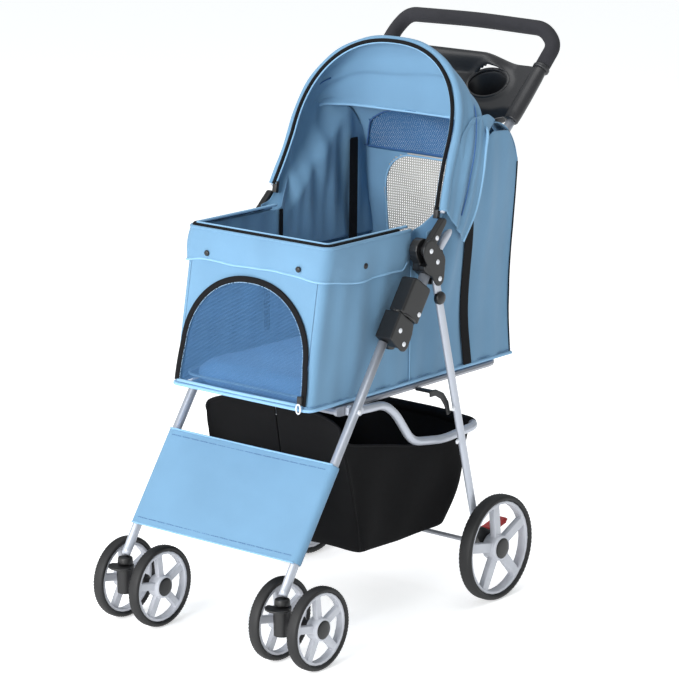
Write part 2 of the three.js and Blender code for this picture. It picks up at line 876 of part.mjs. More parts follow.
add("seat_frame", seatFrame(), grey());
addPair("curved_link", curvedLink(), black);
add("cabin_floor", cabinFloor(), blue());
addPair("cabin_side", sideWall(), blue);
add("cabin_front", frontWall(), blue());
add("door_mesh", doorMesh(), denim());
add("cabin_rear", rearWall(), blue());
add("cushion", cushion(), denim());

export default stroller;
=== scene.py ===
from math import cos, exp, pi, radians, sin

import bmesh
import bpy
from mathutils import Matrix, Vector


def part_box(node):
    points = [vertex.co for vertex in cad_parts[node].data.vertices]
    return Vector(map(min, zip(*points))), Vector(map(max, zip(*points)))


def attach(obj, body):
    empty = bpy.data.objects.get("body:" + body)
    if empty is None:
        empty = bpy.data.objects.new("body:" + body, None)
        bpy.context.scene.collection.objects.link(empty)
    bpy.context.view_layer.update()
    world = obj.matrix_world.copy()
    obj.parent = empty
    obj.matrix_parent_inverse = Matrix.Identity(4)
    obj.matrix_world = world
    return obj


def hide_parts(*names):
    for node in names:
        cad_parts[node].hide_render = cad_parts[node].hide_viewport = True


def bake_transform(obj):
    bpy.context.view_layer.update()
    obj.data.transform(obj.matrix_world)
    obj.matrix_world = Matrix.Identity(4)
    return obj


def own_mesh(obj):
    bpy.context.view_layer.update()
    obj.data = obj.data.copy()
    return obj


bl_info = {
    "name": "Folding Pet Stroller",
    "version": (1, 0, 0),
    "blender": (4, 5, 0),
    "location": "3D View > Sidebar > Stroller",
    "description": "Builds a folding four-wheel pet stroller around its frame",
    "category": "Add Mesh",
}

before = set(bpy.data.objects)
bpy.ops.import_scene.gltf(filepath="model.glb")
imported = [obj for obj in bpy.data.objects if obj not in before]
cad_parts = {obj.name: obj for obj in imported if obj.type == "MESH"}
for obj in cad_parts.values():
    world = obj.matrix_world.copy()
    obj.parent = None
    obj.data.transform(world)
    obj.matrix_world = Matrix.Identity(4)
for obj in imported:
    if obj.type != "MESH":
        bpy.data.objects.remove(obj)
SIDES = (("left", 1), ("right", -1))


def middle(node):
    low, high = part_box(node)
    return [(a + b) / 2 for a, b in zip(low, high)]


# ---- Places, in millimetres: y is 0 a little in front of the middle, +Y to the rear, +Z up ------
REAR_AXLE_Y = 238
MIDDLE = middle("rear_wheel_left_tyre")[1] - REAR_AXLE_Y / 1000
TUBE_X = 1000 * middle("handle_tube_left")[0]
STUB_X = 1000 * middle("stub_tube_left")[0]
REAR_LEG_X = 1000 * middle("rear_leg_left")[0]
FLOOR_Z = 1000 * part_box("cabin_floor")[1][2]
LEG_TOP, LEG_ANGLE = (-35, 520), radians(55.8)
HANDLE_START, HANDLE_ANGLE, HANDLE_SLOPE = (101, 642), radians(43.8), 0.959
FRONT_Y, FRONT_LEAN = -206, 0.171
REAR_Y, REAR_LEAN = 352, 29 / 344
CABIN_HALF, CORNER = 151, 13
FRONT_FLAT, CORNER_TURN = CABIN_HALF - CORNER, CORNER * pi / 2
CABIN_REACH = FRONT_FLAT + CORNER_TURN + REAR_Y - FRONT_Y - CORNER
RIM_Z, REAR_SEAM_Z = 680, 757


def place(x, y, z):
    """A point given in millimetres, in the frame's metres."""
    return Vector((x / 1000, y / 1000 + MIDDLE, z / 1000))


def on_leg(s, n, x=TUBE_X):
    """A point s up along the front leg from its top, and n square to it, to the rear."""
    c, d = cos(LEG_ANGLE), sin(LEG_ANGLE)
    return (x, LEG_TOP[0] + c * s + d * n, LEG_TOP[1] + d * s - c * n)


def on_handle(t, n=0, x=TUBE_X):
    """A point t up along the handle, and n square to it, to the front."""
    c, d = cos(HANDLE_ANGLE), sin(HANDLE_ANGLE)
    return (x, HANDLE_START[0] + c * t - d * n, HANDLE_START[1] + d * t + c * n)


def blend_in(value, start, end):
    """0 before start, 1 after end, smooth between them."""
    t = min(1, max(0, (value - start) / (end - start)))
    return t * t * (3 - 2 * t)


def through(stops, at):
    """The value at a place along (place, value) stops, in straight lines between them."""
    for (a, va), (b, vb) in zip(stops, stops[1:]):
        if at <= b:
            t = max(0, (at - a) / (b - a))
            return va + (vb - va) * t
    return stops[-1][1]


def smooth_curve(points, per_span=8):
    """A curve through the points (Catmull-Rom)."""
    pts = [Vector(p) for p in points]
    ends = [2 * pts[0] - pts[1], *pts, 2 * pts[-1] - pts[-2]]
    out = []
    for a, b, c, d in zip(ends, ends[1:], ends[2:], ends[3:]):
        for i in range(per_span):
            t = i / per_span
            out.append(0.5 * (2 * b + (c - a) * t + (2 * a - 5 * b + 4 * c - d) * t * t
                              + (3 * b - a - 3 * c + d) * t ** 3))
    return [tuple(p) for p in out] + [tuple(pts[-1])]


def bent(corners, reach=25, pieces=8):
    """Corner points with each inner corner turned into a bend that starts reach before it."""
    pts = [Vector(p) for p in corners]
    out = [pts[0]]
    for a, b, c in zip(pts, pts[1:], pts[2:]):
        r = min(reach, (a - b).length * 0.48, (c - b).length * 0.48)
        p, q = b.lerp(a, r / (a - b).length), b.lerp(c, r / (c - b).length)
        out += [p.lerp(b, i / pieces).lerp(b.lerp(q, i / pieces), i / pieces) for i in range(pieces + 1)]
    return [tuple(p) for p in out + [pts[-1]]]


def mirrored(points, sign):
    """The points as they are for sign 1, or on the other side for -1."""
    return [(x * sign, y, z) for x, y, z in points]


# ---- Making meshes ---------------------------------------------------------------------------
def mesh_piece(name, corners, faces, material, smooth=True):
    """A mesh from corners in metres."""
    data = bpy.data.meshes.new(name)
    data.from_pydata([tuple(c) for c in corners], [], faces)
    made = bmesh.new()
    made.from_mesh(data)
    bmesh.ops.recalc_face_normals(made, faces=made.faces)
    made.to_mesh(data)
    made.free()
    data.polygons.foreach_set("use_smooth", [smooth] * len(data.polygons))
    data.materials.append(material)
    piece = bpy.data.objects.new(name, data)
    bpy.context.scene.collection.objects.link(piece)
    return piece


def settle(piece):
    """Makes the modifiers' result the piece's own mesh."""
    bpy.context.view_layer.update()
    made = bpy.data.meshes.new_from_object(piece.evaluated_get(bpy.context.evaluated_depsgraph_get()))
    piece.modifiers.clear()
    piece.data = made
    made.polygons.foreach_set("use_smooth", [True] * len(made.polygons))
    return piece


def tube(name, points, radius, material, sides=24, flat=1.0, thick=None):
    """A round tube along points in mm; flat narrows it square to X, thick sets each point's size."""
    path = [place(*p) for p in points]
    last = len(path) - 1
    side = Vector((1, 0, 0))
    corners, faces = [], []
    for i, p in enumerate(path):
        along = (path[min(i + 1, last)] - path[max(i - 1, 0)]).normalized()
        side = side - along * side.dot(along)
        if side.length < 1e-4:
            side = along.orthogonal()
        side.normalize()
        up = along.cross(side)
        r = radius / 1000 * (thick(i / last) if thick else 1)
        for k in range(sides):
            a = 2 * pi * k / sides
            corners.append(p + side * r * cos(a) + up * r * flat * sin(a))
    for i in range(last):
        for k in range(sides):
            a, b = i * sides + k, i * sides + (k + 1) % sides
            faces.append((a, b, b + sides, a + sides))
    faces += [tuple(range(sides)), tuple(last * sides + k for k in range(sides))]
    return mesh_piece(name, corners, faces, material)


def cloth(name, rows, material, thickness=1.4, keep=None, subdivide=True):
    """A sheet over rows of points in mm; keep(x, y, z) says which faces stay."""
    wide = len(rows[0])
    corners = [place(*p) for row in rows for p in row]
    faces = []
    for i in range(len(rows) - 1):
        for k in range(wide - 1):
            a = i * wide + k
            mid = [(rows[i][k][j] + rows[i + 1][k + 1][j]) / 2 for j in range(3)]
            if keep is None or keep(*mid):
                faces.append((a, a + 1, a + 1 + wide, a + wide))
    piece = mesh_piece(name, corners, faces, material)
    made = bmesh.new()
    made.from_mesh(piece.data)
    bmesh.ops.delete(made, geom=[v for v in made.verts if not v.link_faces], context="VERTS")
    made.to_mesh(piece.data)
    made.free()
    shell = piece.modifiers.new("cloth thickness", "SOLIDIFY")
    shell.thickness, shell.offset = thickness / 1000, 0
    if subdivide:
        piece.modifiers.new("soft", "SUBSURF").levels = 1
    return settle(piece)


def turned(name, profile, centre, axis, material, segments=32):
    """A turned piece: profile points are (radius, height along the axis), in mm."""
    turn = Vector((0, 0, 1)).rotation_difference(Vector(axis).normalized())
    home = place(*centre)
    corners, faces = [], []
    for r, h in profile:
        for k in range(segments):
            a = 2 * pi * k / segments
            corners.append(home + turn @ Vector((r * cos(a), r * sin(a), h)) / 1000)
    for i in range(len(profile) - 1):
        for k in range(segments):
            a, b = i * segments + k, i * segments + (k + 1) % segments
            faces.append((a, b, b + segments, a + segments))
    faces += [tuple(range(segments)), tuple((len(profile) - 1) * segments + k for k in range(segments))]
    return mesh_piece(name, corners, faces, material)


def dome(name, centre, axis, radius, height, material):
    """A domed disc, such as a rivet head or a snap button."""
    profile = [(radius * 0.94, -1), (radius, 0.2 * height)]
    profile += [(radius * cos(a), height * (0.2 + 0.8 * sin(a))) for a in (0.4, 0.8, 1.15, 1.4, 1.53)]
    return turned(name, profile, centre, axis, material, 20)


def plate(name, outline, x0, x1, material, bevel=0.8):
    """A plate from a side-view outline of (y, z) points, with eased edges."""
    n = len(outline)
    corners = [place(x, y, z) for x in (x0, x1) for y, z in outline]
    faces = [tuple(range(n)), tuple(range(2 * n - 1, n - 1, -1))]
    faces += [(k, (k + 1) % n, n + (k + 1) % n, n + k) for k in range(n)]
    piece = mesh_piece(name, corners, faces, material, smooth=False)
    ease(piece, bevel)
    return piece


def ease(piece, bevel):
    """Rounds the sharp edges by bevel mm."""
    edge = piece.modifiers.new("eased edges", "BEVEL")
    edge.width, edge.segments, edge.limit_method, edge.angle_limit = bevel / 1000, 3, "ANGLE", radians(35)
    edge.harden_normals = False
    settle(piece)
    piece.data.set_sharp_from_angle(angle=radians(40))


def moulded(node, name, material, grain=1.2, rounds=5, share=0.4):
    """The CAD solid as a moulding: its edges rounded as a mould leaves them."""
    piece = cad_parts[node].copy()
    piece.data = piece.data.copy()
    piece.name = name
    for key in [k for k in piece.keys() if k.startswith("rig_")]:
        del piece[key]
    piece.parent = None
    piece.hide_render = piece.hide_viewport = False
    bpy.context.scene.collection.objects.link(piece)
    piece.data.materials.clear()
    piece.data.materials.append(material)
    cubes = piece.modifiers.new("even skin", "REMESH")
    cubes.mode, cubes.voxel_size, cubes.use_smooth_shade = "VOXEL", grain / 1000, True
    soften = piece.modifiers.new("rounded edges", "SMOOTH")
    soften.factor, soften.iterations = 0.6, rounds
    fewer = piece.modifiers.new("fewer faces", "DECIMATE")
    fewer.ratio = share
    settle(piece)
    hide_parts(node)
    return piece


def joined(name, pieces):
    """Several pieces as one."""
    made = bmesh.new()
    materials = []
    for p in pieces:
        start = len(made.faces)
        made.from_mesh(p.data)
        made.faces.ensure_lookup_table()
        if p.data.materials[0] not in materials:
            materials.append(p.data.materials[0])
        for f in made.faces[start:]:
            f.material_index = materials.index(p.data.materials[0])
    data = bpy.data.meshes.new(name)
    made.to_mesh(data)
    made.free()
    for m in materials:
        data.materials.append(m)
    for p in pieces:
        bpy.data.objects.remove(p)
    whole = bpy.data.objects.new(name, data)
    bpy.context.scene.collection.objects.link(whole)
    return whole


def stitches(name, points, material, pitch=4.0, size=0.55):
    """A row of sewn stitches along points in mm."""
    path = [place(*p) for p in points]
    corners, faces, run = [], [], 0.0
    for a, b in zip(path, path[1:]):
        step = (b - a).length * 1000
        while run < step and step > 0:
            p, q = a.lerp(b, run / step), a.lerp(b, min(1, (run + pitch * 0.62) / step))
            along = (q - p).normalized() if (q - p).length > 1e-6 else (b - a).normalized()
            across, up = along.orthogonal().normalized(), along.cross(along.orthogonal().normalized())
            base = len(corners)
            for end in (p, q):
                corners += [end + (across * cos(k) + up * sin(k)) * size / 1000 for k in (0.8, 2.4, 3.9, 5.5)]
            faces += [(base + k, base + (k + 1) % 4, base + 4 + (k + 1) % 4, base + 4 + k) for k in range(4)]
            faces += [tuple(base + k for k in range(4)), tuple(base + 7 - k for k in range(4))]
            run += pitch
        run -= step
    return mesh_piece(name, corners, faces, material)


# ---- Finishes --------------------------------------------------------------------------------
_finishes = {}


class Finish:
    """Builds a node material. Single values stay on the shader's own sockets."""

    def __init__(self, name, colour, roughness, metallic=0.0, sheen=0.0, coat=0.0):
        self.material = bpy.data.materials.new(name)
        self.material.use_nodes = True
        self.tree = self.material.node_tree
        self.shader = self.tree.nodes["Principled BSDF"]
        self.colour = colour
        self.shader.inputs["Base Color"].default_value = (*colour, 1)
        self.shader.inputs["Roughness"].default_value = roughness
        self.shader.inputs["Metallic"].default_value = metallic
        self.shader.inputs["Sheen Weight"].default_value = sheen
        self.shader.inputs["Coat Weight"].default_value = coat
        self.coords = self.node("ShaderNodeTexCoord").outputs["Object"]
        self.height = None

    def node(self, kind, **values):
        made = self.tree.nodes.new(kind)
        for key, value in values.items():
            if key in made.inputs:
                made.inputs[key].default_value = value
            else:
                setattr(made, key, value)
        return made

    def noise(self, scale, detail=4.0):
        n = self.node("ShaderNodeTexNoise", Scale=scale, Detail=detail)
        self.tree.links.new(self.coords, n.inputs["Vector"])
        return n.outputs["Fac"]

    def wave(self, scale, direction):
        n = self.node("ShaderNodeTexWave", Scale=scale, bands_direction=direction)
        self.tree.links.new(self.coords, n.inputs["Vector"])
        return n.outputs["Fac"]

    def ramp(self, source, stops):
        r = self.node("ShaderNodeValToRGB")
        self.tree.links.new(source, r.inputs["Fac"])
        for i, (at, colour) in enumerate(stops):
            stop = r.color_ramp.elements[i] if i < 2 else r.color_ramp.elements.new(at)
            stop.position, stop.color = at, (*colour, 1)
        return r.outputs["Color"]

    def varied(self, scale, spread):
        """The colour drifts by spread over patches."""
        dark, light = [[min(1, c * k) for c in self.colour] for k in (1 - spread, 1 + spread)]
        self.tree.links.new(self.ramp(self.noise(scale), [(0.3, dark), (0.7, light)]),
                            self.shader.inputs["Base Color"])
        return self

    def bumped(self, source, distance, strength=1.0):
        """Adds relief of that depth in mm."""
        b = self.node("ShaderNodeBump", Strength=strength, Distance=distance / 1000)
        self.tree.links.new(source, b.inputs["Height"])
        if self.height:
            self.tree.links.new(self.height, b.inputs["Normal"])
        self.height = b.outputs["Normal"]
        self.tree.links.new(self.height, self.shader.inputs["Normal"])
        return self


def linear(colour):
    return [c / 12.92 if c <= 0.04045 else ((c + 0.055) / 1.055) ** 2.4 for c in colour]


def woven(name, colour, crease=1.2, weave=260, sheen=0.1, roughness=0.85, gloss=0.5):
    """Plain-woven polyester: fine threads both ways and soft creases."""
    f = Finish(name, linear(colour), roughness, sheen=sheen)
    f.shader.inputs["Specular IOR Level"].default_value = gloss
    f.varied(9, 0.05)
    f.bumped(f.noise(16, 2), crease, 0.8).bumped(f.noise(52, 3), 0.3, 0.6)
    f.bumped(f.wave(weave, "X"), 0.08, 0.4).bumped(f.wave(weave, "Z"), 0.08, 0.4)
    return f.material


def netting(name, colour, pitch, thread, roughness=0.7, directions=("X", "Z"), twist=0.0):
    """Open mesh: threads in both directions with holes between them."""
    f = Finish(name, linear(colour), roughness)
    f.varied(14, 0.08)
    if twist:
        turn = f.node("ShaderNodeMapping", Rotation=(0, twist, 0))
        f.tree.links.new(f.coords, turn.inputs["Vector"])
        f.coords = turn.outputs["Vector"]
    white, black = (1, 1, 1), (0, 0, 0)
    threads = [f.ramp(f.wave(314 / pitch, d), [(1 - thread, black), (min(1, 1.12 - thread), white)])
               for d in directions]
    either = f.node("ShaderNodeMath", operation="MAXIMUM")
    for i, t in enumerate(threads):
        f.tree.links.new(t, either.inputs[i])
    f.tree.links.new(either.outputs[0], f.shader.inputs["Alpha"])
    f.bumped(f.noise(30, 2), 0.2, 0.3)
    return f.material


def painted_tube(name, colour):
    f = Finish(name, linear(colour), 0.34, metallic=0.45, coat=0.25)
    f.varied(30, 0.03)
    f.bumped(f.noise(900, 2), 0.04, 0.3)
    return f.material


def moulding(name, colour, roughness=0.42, grain=0.05):
    f = Finish(name, linear(colour), roughness)
    f.varied(22, 0.08)
    f.bumped(f.noise(1400, 2), grain, 0.5)
    return f.material


def rubber(name, colour, grain, roughness=0.8):
    f = Finish(name, linear(colour), roughness)
    f.varied(40, 0.12)
    f.bumped(f.noise(700, 3), grain, 0.7)
    return f.material


# Each finish: the record's slot, what makes it, its colour or the setting that holds it, other values.
FINISHES = {
    "light blue cloth": ("blue_fabric", woven, "cloth", {}),
    "pale blue edging": ("blue_fabric", woven, "edging", {"crease": 0.2}),
    "quilted denim": ("cushion_fabric", woven, "cushion", {"crease": 1.0, "weave": 180}),
    "black basket cloth": ("black_fabric", woven, "basket",
                           {"crease": 2.0, "roughness": 0.8, "sheen": 0, "gloss": 0.15}),
    "door netting": ("mesh_fabric", netting, "door", {"pitch": 2.2, "thread": 0.2}),
    "window netting": ("mesh_fabric", netting, "window", {"pitch": 4.6, "thread": 0.55}),
    "roof netting": ("mesh_fabric", netting, "roof", {"pitch": 3.4, "thread": 0.85, "twist": 0.9}),
    "black webbing": ("black_fabric", woven, (0.05, 0.05, 0.06),
                      {"crease": 0.1, "weave": 420, "sheen": 0, "gloss": 0.2}),
    "silver paint": ("silver_tube", painted_tube, "tube", {}),
    "grey paint": ("grey_tube", painted_tube, "basket_tube", {}),
    "black plastic": ("black_plastic", moulding, "plastic", {}),
    "tray plastic": ("black_plastic", moulding, "tray", {"roughness": 0.38}),
    "grip foam": ("foam_grip", rubber, "foam", {"grain": 0.35, "roughness": 0.9}),
    "tyre rubber": ("tyre", rubber, (0.08, 0.08, 0.085), {"grain": 0.15, "roughness": 0.62}),
    "wheel plastic": ("wheel_grey", moulding, "wheel", {"roughness": 0.5}),
    "red plastic": ("brake_red", moulding, (0.72, 0.12, 0.12), {"roughness": 0.4}),
    "bright steel": ("silver_tube", painted_tube, (0.86, 0.87, 0.89), {}),
    "pale thread": ("blue_fabric", woven, (0.62, 0.76, 0.88), {"crease": 0.1}),
    "dark blue thread": ("blue_fabric", woven, (0.2, 0.36, 0.56), {"crease": 0.1}),
}


def finish(name):
    """A finish by name, made once."""
    if name not in _finishes:
        _, make, tone, values = FINISHES[name]
        if isinstance(tone, str):
            tone = getattr(bpy.context.scene.stroller_colours, tone)
        _finishes[name] = make(name, tone, **values)
    return _finishes[name]


def on_body(piece, body, *nodes):
    """Fixes the piece to its body, if any; it stands for those CAD nodes, which it hides."""
    if body:
        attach(piece, body)
    if nodes:
        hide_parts(*nodes)
    return piece


def on_cabin(piece, *nodes):
    """Cabin cloth moves with the seat frame."""
    on_body(piece, "seat_frame", *nodes)
    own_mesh(piece)
    return piece


# ---- Settings --------------------------------------------------------------------------------
def colour(label, about, default):
    return bpy.props.FloatVectorProperty(name=label, description=about, subtype="COLOR_GAMMA", size=3,
                                         min=0, max=1, default=default)


def length(label, about, default):
    return bpy.props.FloatProperty(name=label, description=about, unit="LENGTH", subtype="DISTANCE",
                                   default=default, min=0)


class StrollerSizes(bpy.types.PropertyGroup):
    tube_radius: length("Tube radius", "Half the frame tubes' width", 0.008)
    stub_radius: length("Hinge tube radius", "Half the thicker folding tubes' width", 0.0095)
    grip_radius: length("Grip radius", "Half the foam grip's width", 0.0135)
    cloth: length("Cloth thickness", "Thickness of the cabin cloth", 0.0014)
    piping: length("Piping radius", "Half the width of the piped edges", 0.0024)
    zip_width: length("Zip width", "Width of the door's zip tape", 0.011)
    cushion_swell: length("Cushion swell", "How far the cushion's cloth may move as it fills", 0.008)


class StrollerColours(bpy.types.PropertyGroup):
    cloth: colour("Cloth", "Light blue cabin and hood cloth", (0.395, 0.55, 0.67))
    edging: colour("Edging", "Pale blue piping and hems", (0.50, 0.67, 0.80))
    cushion: colour("Cushion", "Denim blue of the cushion", (0.40, 0.60, 0.80))
    door: colour("Door netting", "Denim blue of the door's mesh", (0.21, 0.39, 0.56))
    window: colour("Window netting", "Off-white of the rear window's mesh", (0.68, 0.67, 0.65))
    roof: colour("Roof netting", "Dark blue of the roof's mesh", (0.22, 0.40, 0.57))
    basket: colour("Basket", "Black of the basket's cloth", (0.035, 0.035, 0.042))
    tube: colour("Tubes", "Silver paint of the main tubes", (0.70, 0.72, 0.76))
    basket_tube: colour("Basket tubes", "Grey paint of the basket's tubes", (0.58, 0.59, 0.62))
    plastic: colour("Plastic", "Black of the joints and casters", (0.07, 0.07, 0.075))
    tray: colour("Tray", "Dark grey of the tray", (0.15, 0.15, 0.16))
    foam: colour("Grip foam", "Dark grey of the grip", (0.14, 0.14, 0.16))
    wheel: colour("Wheels", "Light grey of the wheel centres", (0.74, 0.75, 0.78))


def sizes():
    """The scene's size settings."""
    return bpy.context.scene.stroller_sizes


class StrollerPiece(bpy.types.Operator):
    """Shared behaviour of the operators that build the stroller"""
    bl_options = {"REGISTER", "UNDO"}

    def execute(self, context):
        self.build()
        return {"FINISHED"}


# ---- Tubes -----------------------------------------------------------------------------------
class STROLLER_OT_tubes(StrollerPiece):
    """Front legs, hinge tubes, handle tubes and rear legs"""
    bl_idname = "stroller.tubes"
    bl_label = "Frame Tubes"

    def build(self):
        silver, r, stub = finish("silver paint"), sizes().tube_radius * 1000, sizes().stub_radius * 1000
        for side, sign in SIDES:
            leg = bent([(TUBE_X, -299, 128.4), (TUBE_X, -291, 140), (TUBE_X, -272, 171), on_leg(-14, 0)], 16)
            on_body(tube(f"front_leg_tube_{side}", mirrored(leg, sign), r, silver), "front_frame",
                    f"front_tube_{side}")
            hinge = [on_leg(s, 25.5, STUB_X) for s in (2, 60, 124)]
            on_body(tube(f"hinge_tube_{side}", mirrored(hinge, sign), stub, silver), "handle_frame",
                    f"stub_tube_{side}")
            handle = [on_handle(t) for t in (-23, 90, 190, 284)]
            on_body(tube(f"handle_side_tube_{side}", mirrored(handle, sign), r, silver), "handle_frame",
                    f"handle_tube_{side}")
            rear = [(REAR_LEG_X, 78 + 127 * t, 601 - 458 * t) for t in (0, 0.02, 0.25, 0.5, 0.75, 0.98, 1)]
            on_body(tube(f"rear_leg_tube_{side}", mirrored(rear, sign), 5.5, silver, 28, flat=1.55),
                    "rear_frame", f"rear_leg_{side}")


class STROLLER_OT_grip(StrollerPiece):
    """Foam push bar with its end collars"""
    bl_idname = "stroller.grip"
    bl_label = "Push Bar"

    def build(self):
        half = [on_handle(402.4), on_handle(458), (150, 436, 984)]
        corners = [*half, (0, 438, 987), *reversed(mirrored(half, -1))]
        on_body(tube("grip_foam", bent(corners, 44, 12), sizes().grip_radius * 1000, finish("grip foam"), 32),
                "handle_frame", "grip")
        for side, sign in SIDES:
            collar = mirrored([on_handle(t) for t in (399, 401, 405, 407)], sign)
            swell = lambda t: 0.92 + 0.1 * sin(pi * t)
            on_body(tube(f"grip_collar_{side}", collar, 15.2, finish("tray plastic"), 32, thick=swell),
                    "handle_frame")


class STROLLER_OT_mouldings(StrollerPiece):
    """Moulded joints: leg sockets, locks, brackets, canopy arms, links, brake housings and levers"""
    bl_idname = "stroller.mouldings"
    bl_label = "Moulded Joints"

    def build(self):
        kinds = {
            "caster_socket": "front_frame", "lock_base": "front_frame", "hinge_bracket": "handle_frame",
            "canopy_arm": "canopy", "curved_link": "seat_frame", "brake_housing": "rear_frame",
        }
        for side, _ in SIDES:
            for kind, body in kinds.items():
                on_body(moulded(f"{kind}_{side}", f"{kind}_moulding_{side}", finish("black plastic"),
                                rounds=18 if kind == "lock_base" else 5), body)
            on_body(moulded(f"lock_sleeve_{side}", f"lock_sleeve_moulding_{side}", finish("black plastic"),
                            rounds=22), f"lock_{side}")
            on_body(moulded(f"caster_fork_{side}", f"caster_fork_moulding_{side}", finish("black plastic")),
                    f"caster_{side}")
            on_body(moulded(f"brake_pedal_{side}", f"brake_lever_{side}", finish("red plastic"), 1.0),
                    f"brake_{side}")


TRAY_LOW, TRAY_HIGH = 294, 402
CUP_X, CUP_T, CUP_HALF_X, CUP_HALF_T = 90, 353, 41, 31


class STROLLER_OT_tray(StrollerPiece):
    """Moulded tray between the handle tubes, with a cup pocket at each side"""
    bl_idname = "stroller.tray"
    bl_label = "Cup Tray"

    def build(self):
        grey = finish("tray plastic")
        hole = lambda x, t: ((abs(x) - CUP_X) / CUP_HALF_X) ** 2 + ((t - CUP_T) / CUP_HALF_T) ** 2
        rows = []
        for j in range(41):
            v = j / 40
            row = []
            for k in range(101):
                x = -168 + 336 * k / 100
                low = TRAY_LOW - 10 * (1 - blend_in(abs(abs(x) - CUP_X), 30, 62))
                t = low + (TRAY_HIGH - low) * v
                hump = 26 * blend_in(t, 366, 400) * (1 - blend_in(abs(x), 70, 132))
                roll = -9 * (1 - blend_in(v, 0, 0.14))
                row.append(on_handle(t, 4 + hump + roll + 2.5 * (1 - blend_in(hole(x, t), 1, 1.9)), x))
            rows.append(row)

        def solid(x, y, z):
            t = (y - HANDLE_START[0]) * cos(HANDLE_ANGLE) + (z - HANDLE_START[1]) * sin(HANDLE_ANGLE)
            return hole(x, t) > 1

        parts = [cloth("deck", rows, grey, 5, keep=solid)]
        for side, sign in SIDES:
            rail = mirrored([on_handle(t, 1) for t in (284, 286, 300, 340, 380, 400, 403)], sign)
            parts.append(tube(f"rail_{side}", rail, 14, grey, 32, flat=0.9,
                              thick=lambda t: 0.82 + 0.2 * sin(pi * min(1, 0.06 + t))))
            brim = [on_handle(CUP_T + (CUP_HALF_T + 0.5) * sin(a), 7, CUP_X + (CUP_HALF_X + 0.5) * cos(a))
                    for a in [2 * pi * k / 60 for k in range(61)]]
            parts.append(tube(f"brim_{side}", mirrored(brim, sign), 3.4, grey, 14))
            pocket = []
            for depth in (0, 0.12, 0.3, 0.5, 0.7, 0.85, 0.94, 1.0, 1.02, 1.03):
                ring = []
                for k in range(61):
                    a = 2 * pi * k / 60
                    top = Vector(on_handle(CUP_T + CUP_HALF_T * sin(a), 5, CUP_X + CUP_HALF_X * cos(a)))
                    shrink = 1 if depth <= 1 else 1 - (depth - 1) * 33
                    foot = Vector((CUP_X + 33 * cos(a) * shrink,
                                   on_handle(CUP_T)[1] + 24 * sin(a) * shrink, 824))
                    ring.append(tuple(top.lerp(foot, min(1, depth ** 0.9))))
                pocket.append(ring)
            parts.append(cloth(f"pocket_{side}", [mirrored(r, sign) for r in pocket], grey, 3))
        on_body(joined("tray_moulding", parts), "handle_frame", "tray")


class STROLLER_OT_fittings(StrollerPiece):
    """Rivets, the lock's ring and its knob"""
    bl_idname = "stroller.fittings"
    bl_label = "Rivets and Lock Rings"

    def build(self):
        steel, black = finish("bright steel"), finish("black plastic")
        rivets = {
            "front_frame": [(198.2, -26, 529), (198.2, -16, 504), (183.2, -114.5, 403)],
            "canopy": [(196.4, 73, 671)],
            "handle_frame": [(200.2, 53, 652), (200.2, 71, 631), (200.2, 78, 601)],
            "rear_frame": [(195.7, 89, 562), (195.7, 128, 364), (195.7, 141, 303)],
        }
        for side, sign in SIDES:
            for body, centres in rivets.items():
                heads = [dome(f"head{i}", (x * sign, y, z), (sign, 0, 0), 4.4, 1.9, steel)
                         for i, (x, y, z) in enumerate(centres)]
                on_body(joined(f"rivets_{body}_{side}", heads), body)
            on_body(dome(f"sleeve_rivet_{side}", (199.2 * sign, 23, 548), (sign, 0, 0), 4.4, 1.9, steel),
                    f"lock_{side}")
            ring = [on_leg(41.5, -13.5 + 27 * (1 - cos(a)), 184.5 + 15.5 * sin(a))
                    for a in [2 * pi * k / 40 for k in range(41)]]
            on_body(tube(f"lock_ring_{side}", mirrored(ring, sign), 2.4, black, 12), f"lock_{side}")
            knob = [(11, -3), (11.5, 3), (10, 6), (5, 7.5), (0.5, 7.8)]
            on_body(turned(f"leg_knob_{side}", knob, (REAR_LEG_X * sign + 4 * sign, 85, 566), (sign, 0, 0),
                           black), "rear_frame")


# ---- Wheels ----------------------------------------------------------------------------------
FRONT_WHEEL = (71, 21, 71 * 0.865, 20)
REAR_WHEEL = (94.5, 26, 94.5 * 0.886, 23)


def wheel(name, outward, radius, width, rim, boss):
    """Knurled tyre, five-spoke centre and dark cap; the open face looks outward."""
    x, y, z = middle(f"{name}_tyre")
    home = (x * 1000, (y - MIDDLE) * 1000, z * 1000)
    half, steps = width / 2, 300
    flank = [(0.72, rim + 0.5), (0.95, rim + 2.5), (1.0, radius - 6), (0.93, radius - 2.4),
             (0.72, radius - 0.9), (0.45, radius - 0.1)]
    lobes = [(-h, r) for h, r in flank] + [(0, radius)] + flank[::-1]
    corners, faces = [], []
    for j, (h, r) in enumerate(lobes):
        for k in range(steps):
            cut = 0.8 if 3 <= j <= 9 and (k // 2 + j) % 2 else 0
            a = 2 * pi * (k + 0.6 * (j % 2)) / steps
            corners.append(place(home[0] + h * half * outward, home[1] + (r - cut) * cos(a),
                                 home[2] + (r - cut) * sin(a)))
    rings = len(lobes)
    for j in range(rings):
        for k in range(steps):
            a, b = j * steps + k, j * steps + (k + 1) % steps
            c = (j + 1) % rings * steps - j * steps
            faces.append((a, b, b + c, a + c))
    on_body(mesh_piece(f"{name}_tyre_knurled", corners, faces, finish("tyre rubber")), name, f"{name}_tyre")
    on_body(moulded(f"{name}_hub", f"{name}_centre", finish("wheel plastic"), 0.9, 4, 0.35), name)
    cap = [(boss * 0.8, 0), (boss * 0.8, 1.2), (boss * 0.68, 2.3), (boss * 0.3, 2.8), (0.5, 2.9)]
    spot = (home[0] + outward * (half + 0.8), home[1], home[2])
    on_body(turned(f"{name}_cap", cap, spot, (outward, 0, 0), finish("black plastic")), name)


